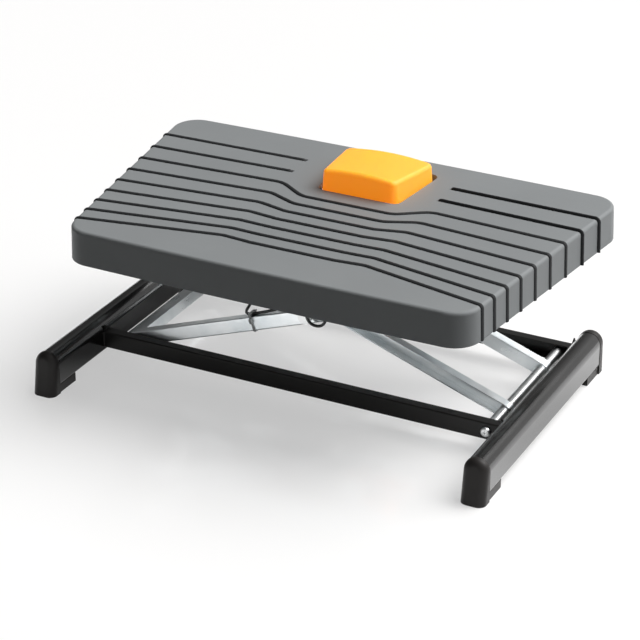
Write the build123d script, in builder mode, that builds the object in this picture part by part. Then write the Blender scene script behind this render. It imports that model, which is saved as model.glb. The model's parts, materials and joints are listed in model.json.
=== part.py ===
"""Footrest on a scissor frame, adjustable in height and tilt by a foot pedal.

X runs along the cross bars, Y to the rear where the pedal is, Z up from the floor.
All sizes are in millimetres.
"""
import math
import os

from build123d import *

os.makedirs("parts", exist_ok=True)

# Side rails: steel tubes with a round top, from front to back
rail_x = 265.5
rail_width = 28
rail_height = 40
rail_wall = 1.5
rail_corner = 3
rail_floor_gap = 10.5
rail_front = -171.5
rail_rear = 152

# End caps: a rounded nose on each rail end and a foot under the rail
cap_nose = 17
cap_front_lean = 8
cap_rear_lean = 3
cap_proud = 0.4
cap_corner = 9
cap_plug = 18
cap_tongue = 34
cap_tongue_inset = 1.5
plug_fit = 0.05

# Front and rear bars: steel channels open towards the middle
mid_y = 35
bar_spread = 222
bar_floor_gap = 15.5
bar_height = 20.5
bar_depth = 12
bar_wall = 2
bar_tab = 8
bar_tab_thickness = 2

# Scissor: both legs of a pair have the same length and cross at their middle
pivot_x = 234
leg_reach = 456
leg_angle = 19.5
leg_height = 17
leg_flange = 12
leg_wall = 1.5
leg_bend = 1.5
leg_bar_gap = 2
inner_leg_offset = 49
running_fit = 0.06
seat_fit = 0.02

# Pivots of the scissor
tube_diameter = 13
tube_bore = 10
screw_diameter = 6
screw_head = 12
screw_head_height = 4.5
bush_length = 16
axle_diameter = 10
axle_clip = 16
axle_clip_thickness = 2
spacer_diameter = 13
bolt_diameter = 8
bolt_head = 13
bolt_head_height = 5
end_play = 0.3

# Glide blocks in the bars and in the upper channels
glide_pin = 8
glide_length = 12
glide_width = 9
glide_play = 0.2
pin_head = 9
pin_head_height = 2

# Cross member that joins the lower ends of the outer legs
member_start = -8
member_width = 22
member_height = 12
member_play = 0.1
member_wall = 2

# Upper frame under the foot plate
channel_gap = 2
channel_height = 18.5
channel_left_over = 30
channel_right_over = 12
slot_left_over = 27.5
slot_right_over = 54
slot_play = 0.3
strap_x = 190
strap_width = 30
strap_thickness = 3
knuckle_diameter = 14
knuckle_ahead = 14
hinge_bolt = 8
nut_height = 6.5
washer_diameter = 16
washer_thickness = 1.5
crossbar_ahead = 18
crossbar_width = 28
crossbar_tab = 20
strap_screw = 5
strap_screw_head = 9
strap_screw_head_height = 1.2

# Gas spring that pulls the upper axle towards the pivots
gas_y = 14
gas_start = 72
gas_length = 142
gas_diameter = 22
gas_wall = 1.5
gland_length = 10
rod_diameter = 8
piston_length = 8
piston_reach = 156
rod_eye = 17
rod_eye_width = 12
head_length = 34
head_width = 26
lever_pin = 5
lever_width = 9
lever_thickness = 8
fork_length = 16
fork_lug = 4

# Foot plate: one moulding, wider at the rear, open below
plate_y = 11
plate_rise = 3.321
plate_tilt = 1.0
plate_front_width = 485
plate_rear_width = 574
plate_depth = 344
plate_front_bow = 2.5
plate_rear_bow = 3.5
plate_corner = 30
plate_edge = 4
plate_height = 40
plate_wall = 4
plate_draft = 2
pattern_x = 11
hinge_lug = 12
rib_thickness = 2.5
rib_depth = 16
rib_length = 50
rib_pitch = 80

# Grip strips pressed into grooves of the plate
strip_count = 9
strip_width = 5.5
strip_proud = 1.6
strip_sunk = 1.0
strip_end_x = 255
strip_end_first = 110.5
strip_end_pitch = 38
strip_end_step = 1.8
strip_shoulder_first = 113.5
strip_shoulder_pitch = 35.3
strip_shoulder_step = 2.1
strip_waist_first = 20.7
strip_waist_pitch = 22.35
strip_bend = 30
strip_bend_x = 75.5
strip_bend_shift = 1.15
strip_bend_half = 18
split_strips = 2
split_x = 92

# Pedal near the rear edge of the plate
pedal_front = 48
pedal_rear = 137
pedal_front_width = 94
pedal_rear_width = 115
pedal_corner = 9
pedal_height = 22
pedal_crown = 5.5
pedal_slope = 3.5
pedal_draft = 4
pedal_edge = 5
pedal_skirt = 4
pedal_wall = 3
pedal_gap = 1.5
pedal_side_gap = 4
pedal_rear_gap = 5
collar_wall = 2.5
collar_depth = 3.5
collar_back = 12
pedal_axis = 37
pedal_axis_depth = 9.5
pedal_pin = 5
pedal_arm_x = 38
pedal_arm_width = 8
pedal_lug = 5
tail_length = 20
tail_height = 5
tail_wire = 16
stop_depth = 26
stop_wall = 3
stop_length = 14
stop_width = 10
spring_y = 98
spring_wire = 1.8
spring_diameter = 16
spring_turns = 6
spring_end_pitch = 2.3
spring_seat = 20
seat_depth = 2
spring_nub = 11
bracket_width = 20
bracket_thickness = 2
bracket_foot = 14
bracket_x = 64
bracket_depth = 32

# Release cable
cable_diameter = 3.5
tie_width = 2.8
tie_thickness = 1.2
wire_diameter = 1.5

theta = math.radians(leg_angle)
axis_z = bar_floor_gap + bar_height / 2
glide_x = pivot_x - leg_reach
leg_length = leg_reach / math.cos(theta)
upper_z = axis_z + leg_reach * math.tan(theta)
centre_x = pivot_x - leg_reach / 2
centre_z = (axis_z + upper_z) / 2
rail_inner = rail_x - rail_width / 2
outer_leg_offset = bar_spread / 2 - bar_depth - leg_bar_gap
channel_open = inner_leg_offset - channel_gap
channel_web = channel_open - bar_depth
strap_bottom = upper_z + channel_height / 2
strap_top = strap_bottom + strap_thickness
plate_top = strap_top + plate_wall + plate_rise
knuckle_y = mid_y - outer_leg_offset - knuckle_ahead
knuckle_z = strap_top - knuckle_diameter / 2
channel_left = glide_x - channel_left_over
channel_right = pivot_x + channel_right_over
slot_left = glide_x - slot_left_over
slot_right = glide_x + slot_right_over
gas_left = glide_x + gas_start
crossbar_x = gas_left + gas_length + crossbar_ahead
crossbar_top = upper_z - channel_height / 2
cable_z = crossbar_top - strap_thickness - crossbar_tab / 2

tilt = math.radians(plate_tilt)
plate_plane = Plane(
    origin=(0, plate_y, plate_top),
    x_dir=(1, 0, 0),
    z_dir=(0, -math.sin(tilt), math.cos(tilt)),
)
pedal_plane = Plane(origin=plate_plane.origin + Vector(pattern_x, 0, 0), x_dir=(1, 0, 0), z_dir=plate_plane.z_dir)


def save(part, name):
    """Label a finished piece and write it."""
    part.label = name
    export_step(part, f"parts/{name}.step")


def turned(name, items):
    """Write a group of turned pieces: each has a start, a direction and (length, outer, bore) steps."""
    with BuildPart() as group:
        for start, direction, steps in items:
            reach = 0
            for length, outer, bore in steps:
                with BuildSketch(Plane(origin=start, z_dir=direction).offset(reach)):
                    Circle(outer / 2)
                    if bore:
                        Circle(bore / 2, mode=Mode.SUBTRACT)
                extrude(amount=length)
                reach += length
    save(group.part, name)


def both_sides(offset):
    """Front and rear Y at a distance from the middle of the scissor, with the outward direction."""
    return ((mid_y - offset, -1), (mid_y + offset, 1))


def arch(inset, mode=Mode.ADD):
    """Section of a rail, shrunk all round: a round top on upright sides, and small corners below."""
    half = rail_width / 2 - inset
    low = inset - rail_height / 2
    shoulder = rail_height / 2 - rail_width / 2
    with BuildLine() as outline:
        FilletPolyline(
            (half, shoulder), (half, low), (-half, low), (-half, shoulder), radius=rail_corner - inset
        )
        ThreePointArc((-half, shoulder), (0, shoulder + half), (half, shoulder))
    make_face(outline.edges(), mode=mode)


# Rails
rail_z = rail_floor_gap + rail_height / 2
for side, name in ((-1, "rail_left"), (1, "rail_right")):
    section = Plane(origin=(side * rail_x, rail_front, rail_z), x_dir=(-1, 0, 0), z_dir=(0, 1, 0))
    with BuildPart() as rail:
        with BuildSketch(section):
            arch(0)
            arch(rail_wall, Mode.SUBTRACT)
        extrude(amount=rail_rear - rail_front)
    save(rail.part, name)

# End caps, drawn on the rail's centre plane with U pointing away from the rail
cap_width = rail_width + 2 * cap_proud
cap_top = rail_floor_gap + rail_height + cap_proud
cap_ends = ((rail_front, -1, cap_front_lean, "front"), (rail_rear, 1, cap_rear_lean, "rear"))
for end_y, away, cap_lean, end_name in cap_ends:
    for side, side_name in ((-1, "left"), (1, "right")):
        end = Plane(origin=(side * rail_x, end_y, 0), x_dir=(-away, 0, 0), z_dir=(0, away, 0))
        profile = Plane(origin=(side * rail_x, end_y, 0), x_dir=(0, away, 0), z_dir=(away, 0, 0))
        with BuildPart() as cap:
            with BuildSketch(profile):
                with BuildLine():
                    Polyline((0, cap_top), (0, 0), (cap_nose, 0), (cap_nose - cap_lean, cap_top), close=True)
                make_face()
            extrude(amount=cap_width / 2, both=True)
            with BuildSketch(end):
                with Locations((0, cap_top - cap_width / 2)):
                    Circle(cap_width / 2)
                with Locations((0, (cap_top - cap_width / 2) / 2)):
                    Rectangle(cap_width, cap_top - cap_width / 2)
            extrude(amount=cap_nose, mode=Mode.INTERSECT)
            nose = cap.faces().sort_by(Axis.Y)[-1 if away > 0 else 0]
            fillet(nose.edges().sort_by(Axis.Z)[1:], cap_corner)
            with BuildSketch(end.offset(-cap_tongue)):
                with Locations((0, rail_floor_gap / 2)):
                    Rectangle(cap_width - 2 * cap_tongue_inset, rail_floor_gap - plug_fit)
            extrude(amount=cap_tongue)
            plug = Plane(
                origin=(side * rail_x, end_y - away * cap_plug, rail_z), x_dir=(-away, 0, 0), z_dir=(0, away, 0)
            )
            with BuildSketch(plug):
                arch(rail_wall + plug_fit)
            extrude(amount=cap_plug)
        save(cap.part, f"cap_{end_name}_{side_name}")

# Front and rear bars with upright end tabs against the rails
for (bar_y, out), name in zip(both_sides(bar_spread / 2), ("front_bar", "rear_bar")):
    outline = Plane(origin=(0, bar_y, bar_floor_gap), x_dir=(0, -out, 0), z_dir=(-out, 0, 0))
    with BuildPart() as bar:
        with BuildSketch(outline):
            with Locations((bar_depth / 2, bar_height / 2)):
                Rectangle(bar_depth, bar_height)
            with Locations((bar_depth / 2 + bar_wall, bar_height / 2)):
                Rectangle(bar_depth, bar_height - 2 * bar_wall, mode=Mode.SUBTRACT)
        extrude(amount=rail_inner, both=True)
        fillet(bar.edges().filter_by(Axis.X).group_by(Axis.Y)[0 if out < 0 else -1], bar_wall * 0.9)
        for side in (-1, 1):
            tab_plane = Plane(origin=(side * rail_inner, bar_y, 0), x_dir=(0, -out, 0), z_dir=(-out, 0, 0))
            with BuildSketch(tab_plane):
                with BuildLine():
                    Polyline(
                        (bar_wall, bar_floor_gap + bar_height - bar_wall),
                        (bar_depth, bar_floor_gap + bar_height - bar_wall),
                        (bar_depth, bar_floor_gap + bar_height),
                        (bar_wall, bar_floor_gap + bar_height + bar_tab),
                        close=True,
                    )
                make_face()
            extrude(amount=side * out * bar_tab_thickness)
        with BuildSketch(Plane(origin=(pivot_x, bar_y, axis_z), z_dir=(0, -out, 0))):
            Circle(screw_diameter / 2 + seat_fit)
        extrude(amount=bar_wall, mode=Mode.SUBTRACT)
    save(bar.part, name)

# Pivot screws through the bars into the bushes of the lower pivot tube
tube_end = bar_spread / 2 - bar_wall - end_play
turned(
    "pivot_screws",
    [
        (
            (pivot_x, bar_y + out * screw_head_height, axis_z),
            (0, -out, 0),
            [(screw_head_height, screw_head, 0), (bar_wall + end_play + bush_length, screw_diameter, 0)],
        )
        for bar_y, out in both_sides(bar_spread / 2)
    ],
)
turned(
    "lower_pivot_tube",
    [((pivot_x, mid_y - tube_end, axis_z), (0, 1, 0), [(2 * tube_end, tube_diameter, tube_bore)])],
)
turned(
    "pivot_bushes",
    [
        (
            (pivot_x, mid_y + out * tube_end, axis_z),
            (0, -out, 0),
            [(bush_length, tube_bore - 2 * seat_fit, screw_diameter + 2 * running_fit)],
        )
        for _, out in both_sides(tube_end)
    ],
)


def leg(name, start_x, heading, web_y, opening, holes):
    """Write a channel leg from its lower pivot, with holes at its lower end, its middle and its upper end."""
    side_plane = Plane(
        origin=(start_x, web_y, axis_z),
        x_dir=(heading * math.cos(theta), 0, math.sin(theta)),
        z_dir=(0, opening, 0),
    )
    with BuildPart() as channel:
        with BuildSketch(side_plane):
            with Locations((leg_length / 2, 0)):
                SlotCenterToCenter(leg_length, leg_height)
        extrude(amount=leg_flange)
        fillet(channel.faces().sort_by(Axis.Y)[0 if opening > 0 else -1].edges(), leg_bend)
        with BuildSketch(side_plane.offset(leg_wall)):
            with Locations((leg_length / 2, 0)):
                Rectangle(leg_length + 2 * leg_height, leg_height - 2 * leg_wall)
        extrude(amount=leg_flange, mode=Mode.SUBTRACT)
        for place, diameter in zip((0, leg_length / 2, leg_length), holes):
            with BuildSketch(side_plane):
                with Locations((place, 0)):
                    Circle(diameter / 2)
            extrude(amount=leg_wall, mode=Mode.SUBTRACT)
    save(channel.part, name)


outer_holes = (
    glide_pin + 2 * seat_fit,
    axle_diameter + 2 * running_fit,
    bolt_diameter + 2 * running_fit,
)
inner_holes = (
    tube_diameter + 2 * seat_fit,
    axle_diameter + 2 * seat_fit,
    axle_diameter + 2 * seat_fit,
)
for (web_y, out), end_name in zip(both_sides(outer_leg_offset), ("front", "rear")):
    leg(f"outer_leg_{end_name}", glide_x, 1, web_y, -out, outer_holes)
for (web_y, out), end_name in zip(both_sides(inner_leg_offset), ("front", "rear")):
    leg(f"inner_leg_{end_name}", pivot_x, -1, web_y, out, inner_holes)

# Centre axle with spacers between the legs and clips on its ends
axle_end = outer_leg_offset + end_play + axle_clip_thickness
turned(
    "centre_axle",
    [((centre_x, mid_y - axle_end, centre_z), (0, 1, 0), [(2 * axle_end, axle_diameter, 0)])],
)
turned(
    "axle_clips",
    [
        (
            (centre_x, mid_y + out * (outer_leg_offset + end_play), centre_z),
            (0, out, 0),
            [(axle_clip_thickness, axle_clip, axle_diameter + 2 * seat_fit)],
        )
        for _, out in both_sides(outer_leg_offset)
    ],
)
spacer_start = inner_leg_offset + leg_wall
turned(
    "axle_spacers",
    [
        (
            (centre_x, mid_y + out * spacer_start, centre_z),
            (0, out, 0),
            [
                (
                    outer_leg_offset - leg_wall - end_play - spacer_start,
                    spacer_diameter,
                    axle_diameter + 2 * seat_fit,
                )
            ],
        )
        for _, out in both_sides(spacer_start)
    ],
)

# Upper axle of the inner legs, which carries the upper glides and the rod eye
upper_axle_end = inner_leg_offset + leg_wall + axle_clip_thickness
turned(
    "upper_axle",
    [((glide_x, mid_y - upper_axle_end, upper_z), (0, 1, 0), [(2 * upper_axle_end, axle_diameter, 0)])],
)

# Glide pins riveted through the lower ends of the outer legs
pin_end = bar_spread / 2 - bar_wall - end_play
turned(
    "glide_pins",
    [
        (
            (glide_x, mid_y + out * (outer_leg_offset - leg_wall - pin_head_height), axis_z),
            (0, out, 0),
            [
                (pin_head_height, pin_head, 0),
                (pin_end - outer_leg_offset + leg_wall, glide_pin, 0),
            ],
        )
        for _, out in both_sides(outer_leg_offset)
    ],
)


def glides(name, middle_z, inner_height, bore, near, out_sign):
    """Write the front and rear glide blocks that slide between the flanges of a channel."""
    with BuildPart() as blocks:
        for _, out in both_sides(near):
            start = Plane(
                origin=(glide_x, mid_y + out * near, middle_z), x_dir=(1, 0, 0), z_dir=(0, out * out_sign, 0)
            )
            with BuildSketch(start):
                RectangleRounded(glide_length, inner_height - 2 * glide_play, 1.5)
                Circle(bore / 2, mode=Mode.SUBTRACT)
            extrude(amount=glide_width)
    save(blocks.part, name)


glides(
    "lower_glides",
    axis_z,
    bar_height - 2 * bar_wall,
    glide_pin + 2 * running_fit,
    bar_spread / 2 - bar_wall - end_play - glide_width,
    1,
)
glides(
    "upper_glides",
    upper_z,
    channel_height - 2 * bar_wall,
    axle_diameter + 2 * running_fit,
    inner_leg_offset - end_play,
    -1,
)

# Cross member between the lower ends of the outer legs, open below
member_plane = Plane(
    origin=(glide_x, mid_y, axis_z), x_dir=(math.cos(theta), 0, math.sin(theta)), z_dir=(0, 1, 0)
)
with BuildPart() as member:
    with BuildSketch(member_plane):
        member_middle = member_height / 2 - leg_height / 2 + leg_wall + member_play
        with Locations((member_start + member_width / 2, member_middle)):
            Rectangle(member_width, member_height)
        with Locations((member_start + member_width / 2, member_middle + member_wall)):
            Rectangle(member_width - 2 * member_wall, member_height, mode=Mode.SUBTRACT)
    extrude(amount=outer_leg_offset - leg_wall, both=True)
save(member.part, "lower_cross_member")

# Upper channels that carry the upper glides
for (open_y, out), end_name in zip(both_sides(channel_open), ("front", "rear")):
    outline = Plane(origin=(0, open_y, upper_z), x_dir=(0, -out, 0), z_dir=(out, 0, 0))
    with BuildPart() as channel:
        with BuildSketch(outline):
            with Locations((bar_depth / 2, 0)):
                Rectangle(bar_depth, channel_height)
            with Locations((bar_depth / 2 - bar_wall, 0)):
                Rectangle(bar_depth, channel_height - 2 * bar_wall, mode=Mode.SUBTRACT)
        extrude(amount=out * channel_right)
        with BuildSketch(outline):
            with Locations((bar_depth / 2, 0)):
                Rectangle(bar_depth, channel_height)
            with Locations((bar_depth / 2 - bar_wall, 0)):
                Rectangle(bar_depth, channel_height - 2 * bar_wall, mode=Mode.SUBTRACT)
        extrude(amount=out * channel_left)
        with BuildSketch(Plane(origin=(pivot_x, mid_y, upper_z), z_dir=(0, out, 0))):
            Circle(tube_diameter / 2 + seat_fit)
        extrude(amount=channel_open, mode=Mode.SUBTRACT)
        slot_x = (slot_left + slot_right) / 2
        with BuildSketch(Plane(origin=(slot_x, mid_y, upper_z), x_dir=(1, 0, 0), z_dir=(0, out, 0))):
            Rectangle(slot_right - slot_left, axle_diameter + 2 * slot_play)
        extrude(amount=channel_open, mode=Mode.SUBTRACT)
        screw_y = mid_y + out * (channel_open - bar_depth / 2)
        with BuildSketch(Plane.XY.offset(strap_bottom)):
            with Locations((-strap_x, screw_y), (strap_x, screw_y)):
                Circle(strap_screw / 2 + seat_fit)
        extrude(amount=-bar_wall, mode=Mode.SUBTRACT)
        with BuildSketch(Plane.XY.offset(crossbar_top)):
            with Locations((crossbar_x, screw_y)):
                Circle(strap_screw / 2 + seat_fit)
        extrude(amount=bar_wall, mode=Mode.SUBTRACT)
    save(channel.part, f"upper_channel_{end_name}")

# Upper pivot tube through both channels, and the bolts on which the outer legs turn
upper_tube_end = outer_leg_offset - leg_wall - end_play
upper_bolt_reach = 25
turned(
    "upper_pivot_tube",
    [
        (
            (pivot_x, mid_y - upper_tube_end, upper_z),
            (0, 1, 0),
            [
                (upper_bolt_reach, tube_diameter, bolt_diameter + 2 * seat_fit),
                (2 * (upper_tube_end - upper_bolt_reach), tube_diameter, tube_bore),
                (upper_bolt_reach, tube_diameter, bolt_diameter + 2 * seat_fit),
            ],
        )
    ],
)
turned(
    "upper_pivot_bolts",
    [
        (
            (pivot_x, mid_y + out * (outer_leg_offset + end_play + bolt_head_height), upper_z),
            (0, -out, 0),
            [
                (bolt_head_height, bolt_head, 0),
                (leg_wall + 2 * end_play + upper_bolt_reach, bolt_diameter, 0),
            ],
        )
        for _, out in both_sides(outer_leg_offset)
    ],
)

# Straps on the channels, rolled into a hinge knuckle at the front
strap_rear = mid_y + channel_open
frame_screw_y = [mid_y + out * (channel_open - bar_depth / 2) for out in (-1, 1)]
for side, name in ((-1, "strap_left"), (1, "strap_right")):
    section = Plane(origin=(side * strap_x, 0, 0), x_dir=(0, 1, 0), z_dir=(1, 0, 0))
    with BuildPart() as strap:
        with BuildSketch(section):
            with Locations(((knuckle_y + strap_rear) / 2, (strap_bottom + strap_top) / 2)):
                Rectangle(strap_rear - knuckle_y, strap_thickness)
            with Locations((knuckle_y, knuckle_z)):
                Circle(knuckle_diameter / 2)
                Circle(hinge_bolt / 2 + running_fit, mode=Mode.SUBTRACT)
        extrude(amount=strap_width / 2, both=True)
        with BuildSketch(Plane.XY.offset(strap_bottom)):
            with Locations(*[(side * strap_x, screw_y) for screw_y in frame_screw_y]):
                Circle(strap_screw / 2 + seat_fit)
        extrude(amount=strap_thickness, mode=Mode.SUBTRACT)
    save(strap.part, name)

# Crossbar under the channels, with a tab that stops the cable sheath
with BuildPart() as crossbar:
    with BuildSketch(Plane.XY.offset(crossbar_top - strap_thickness)):
        with Locations((crossbar_x, mid_y)):
            Rectangle(crossbar_width, 2 * channel_open)
        with Locations(*[(crossbar_x, screw_y) for screw_y in frame_screw_y]):
            Circle(strap_screw / 2 + seat_fit, mode=Mode.SUBTRACT)
    extrude(amount=strap_thickness)
    tab_plane = Plane.YZ.offset(crossbar_x - crossbar_width / 2)
    with BuildSketch(tab_plane):
        with Locations((gas_y, cable_z)):
            Rectangle(crossbar_tab, crossbar_tab)
            Circle(wire_diameter / 2 + end_play, mode=Mode.SUBTRACT)
    extrude(amount=strap_thickness)
save(crossbar.part, "gas_spring_crossbar")

# Screws that hold the straps and the crossbar to the channels
strap_screw_reach = strap_thickness + bar_wall
turned(
    "strap_screws",
    [
        (
            (side * strap_x, screw_y, strap_bottom - bar_wall),
            (0, 0, 1),
            [(strap_screw_reach, strap_screw, 0), (strap_screw_head_height, strap_screw_head, 0)],
        )
        for side in (-1, 1)
        for screw_y in frame_screw_y
    ],
)
turned(
    "crossbar_screws",
    [
        (
            (crossbar_x, screw_y, crossbar_top + bar_wall),
            (0, 0, -1),
            [(strap_screw_reach, strap_screw, 0), (strap_screw_head_height, strap_screw_head, 0)],
        )
        for screw_y in frame_screw_y
    ],
)

# Gas spring: cylinder on the upper frame, rod and piston on the upper axle
turned(
    "gas_cylinder",
    [
        (
            (gas_left, gas_y, upper_z),
            (1, 0, 0),
            [
                (gland_length, gas_diameter, rod_diameter + 2 * running_fit),
                (gas_length - 2 * gland_length, gas_diameter, gas_diameter - 2 * gas_wall),
                (gland_length, gas_diameter, 0),
            ],
        )
    ],
)
with BuildPart() as rod:
    with BuildSketch(Plane(origin=(glide_x, gas_y, upper_z), z_dir=(0, 1, 0))):
        Circle(rod_eye / 2)
    extrude(amount=rod_eye_width / 2, both=True)
    with BuildSketch(Plane(origin=(glide_x, gas_y, upper_z), z_dir=(1, 0, 0))):
        Circle(rod_diameter / 2)
    extrude(amount=piston_reach)
    with BuildSketch(Plane(origin=(glide_x + piston_reach - piston_length, gas_y, upper_z), z_dir=(1, 0, 0))):
        Circle(gas_diameter / 2 - gas_wall - 2 * running_fit)
    extrude(amount=piston_length)
    with BuildSketch(Plane(origin=(glide_x, gas_y, upper_z), z_dir=(0, 1, 0))):
        Circle(axle_diameter / 2 + running_fit)
    extrude(amount=rod_eye_width, both=True, mode=Mode.SUBTRACT)
save(rod.part, "gas_rod")

# Release head on the crossbar with a fork for the release lever
head_left = gas_left + gas_length
head_right = head_left + head_length
head_top = upper_z + gas_diameter / 2
fork_x = head_right + fork_length / 2
fork_z = upper_z + 3
with BuildPart() as head:
    head_middle = (crossbar_top + head_top) / 2
    with BuildSketch(Plane(origin=(head_left, gas_y, head_middle), x_dir=(0, 1, 0), z_dir=(1, 0, 0))):
        Rectangle(head_width, head_top - crossbar_top)
    extrude(amount=head_length)
    fillet(head.edges().filter_by(Axis.X).group_by(Axis.Z)[-1], 4)
    fork_offset = lever_width / 2 + end_play + fork_lug / 2
    for side in (-1, 1):
        fork_plane = Plane(
            origin=(head_right, gas_y + side * fork_offset, fork_z), x_dir=(1, 0, 0), z_dir=(0, side, 0)
        )
        with BuildSketch(fork_plane):
            Rectangle(2 * fork_length, 2 * lever_pin)
        extrude(amount=fork_lug / 2, both=True)
    with BuildSketch(Plane(origin=(fork_x, gas_y, fork_z), z_dir=(0, 1, 0))):
        Circle(lever_pin / 2 + seat_fit)
    extrude(amount=head_width, both=True, mode=Mode.SUBTRACT)
save(head.part, "release_head")
lever_pin_reach = lever_width / 2 + end_play + fork_lug
turned(
    "lever_pin",
    [((fork_x, gas_y - lever_pin_reach, fork_z), (0, 1, 0), [(2 * lever_pin_reach, lever_pin, 0)])],
)
with BuildPart() as lever:
    with BuildSketch(Plane(origin=(fork_x, gas_y, fork_z), x_dir=(1, 0, 0), z_dir=(0, -1, 0))):
        with Locations((0, (cable_z - fork_z) / 2)):
            SlotCenterToCenter(fork_z - cable_z, lever_thickness, rotation=90)
        Circle(lever_pin / 2 + running_fit, mode=Mode.SUBTRACT)
    extrude(amount=lever_width / 2, both=True)
save(lever.part, "release_lever")


def plate_outline(grow, level):
    """Plan of the foot plate: bowed front and rear edges and rounded corners."""
    half_front = plate_front_width / 2 + grow
    half_rear = plate_rear_width / 2 + grow
    half_depth = plate_depth / 2 + grow
    with BuildSketch(plate_plane.offset(level)) as outline:
        with BuildLine():
            Line((-half_front, -half_depth), (-half_rear, half_depth))
            ThreePointArc(
                (-half_rear, half_depth), (0, half_depth + plate_rear_bow), (half_rear, half_depth)
            )
            Line((half_rear, half_depth), (half_front, -half_depth))
            ThreePointArc(
                (half_front, -half_depth), (0, -half_depth - plate_front_bow), (-half_front, -half_depth)
            )
        make_face()
        fillet(outline.vertices(), plate_corner + grow)
    return outline.sketch


def plate_volume(grow, top, rounding):
    """Solid of the plate's outside, grown or shrunk, with a rounded top edge and drafted sides."""
    with BuildPart() as volume:
        add(plate_outline(grow, top))
        extrude(amount=plate_height + top, taper=-plate_draft, dir=-plate_plane.z_dir)
        fillet(volume.faces().sort_by(Axis.Z)[-1].edges(), rounding)
    return volume.part


def strip_level(first, pitch, step, index):
    """Depth position of a strip whose pitch shrinks step by step towards the front."""
    return first - index * pitch + step * index * (index - 1) / 2


def strip_lines(index):
    """Centre lines of one strip: two outer runs, joined by the waist unless the pedal splits them."""
    end_v = strip_level(strip_end_first, strip_end_pitch, strip_end_step, index)
    shoulder_v = strip_level(strip_shoulder_first, strip_shoulder_pitch, strip_shoulder_step, index)
    waist_v = strip_waist_first - strip_waist_pitch * (index - split_strips)
    bend_x = strip_bend_x - strip_bend_shift * (index - split_strips)
    halves = []
    for side in (-1, 1):
        shoulder_x = pattern_x + side * (bend_x + strip_bend_half)
        slope = (end_v - shoulder_v) / (side * strip_end_x - shoulder_x)
        reach_x = side * (plate_rear_width / 2 + 4 * plate_edge)
        reach = (reach_x, shoulder_v + slope * (reach_x - shoulder_x))
        if index < split_strips:
            start_x = pattern_x / 2 + side * split_x
            halves.append([(start_x, shoulder_v + slope * (start_x - shoulder_x)), reach])
        else:
            waist_x = pattern_x + side * (bend_x - strip_bend_half)
            halves.append([(waist_x, waist_v), (shoulder_x, shoulder_v), reach])
    if index < split_strips:
        return halves
    return [list(reversed(halves[0])) + halves[1]]


def bend_radii(points, widest):
    """Radius at each corner of a line: the widest that its shorter neighbour has room for."""
    corners = [Vector(point) for point in points]
    runs = [after - before for before, after in zip(corners[:-1], corners[1:])]
    radii = []
    for before, after in zip(runs[:-1], runs[1:]):
        room = 0.48 * min(before.length, after.length)
        radii.append(min(widest, room / math.tan(math.radians(before.get_angle(after)) / 2)))
    return radii


# Grip strips follow the plate's skin from edge to edge and down both sides
with BuildPart() as fins:
    for index in range(strip_count):
        for points in strip_lines(index):
            with BuildSketch(plate_plane.offset(2 * strip_proud)):
                with BuildLine() as centre_line:
                    if len(points) > 2:
                        FilletPolyline(points, radius=bend_radii(points, strip_bend))
                    else:
                        Line(points[0], points[1])
                trace(centre_line.line, strip_width)
            extrude(amount=-(plate_height + 4 * strip_proud))
strip_shell = plate_volume(strip_proud, strip_proud, plate_edge + strip_proud)
strip_core = plate_volume(-strip_sunk, -strip_sunk, plate_edge - strip_sunk)
with BuildPart() as strips:
    add(fins.part)
    add(strip_shell, mode=Mode.INTERSECT)
    add(strip_core, mode=Mode.SUBTRACT)
save(strips.part, "grip_strips")


def pedal_outline(grow_side, grow_front, grow_rear, level):
    """Plan of the pedal, wider at the rear."""
    half_front = pedal_front_width / 2 + grow_side
    half_rear = pedal_rear_width / 2 + grow_side
    front_v = pedal_front - grow_front
    rear_v = pedal_rear + grow_rear
    with BuildSketch(pedal_plane.offset(level)) as outline:
        with BuildLine():
            Polyline(
                (-half_front, front_v), (half_front, front_v), (half_rear, rear_v), (-half_rear, rear_v), close=True
            )
        make_face()
        fillet(outline.vertices(), pedal_corner)
    return outline.sketch


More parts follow.
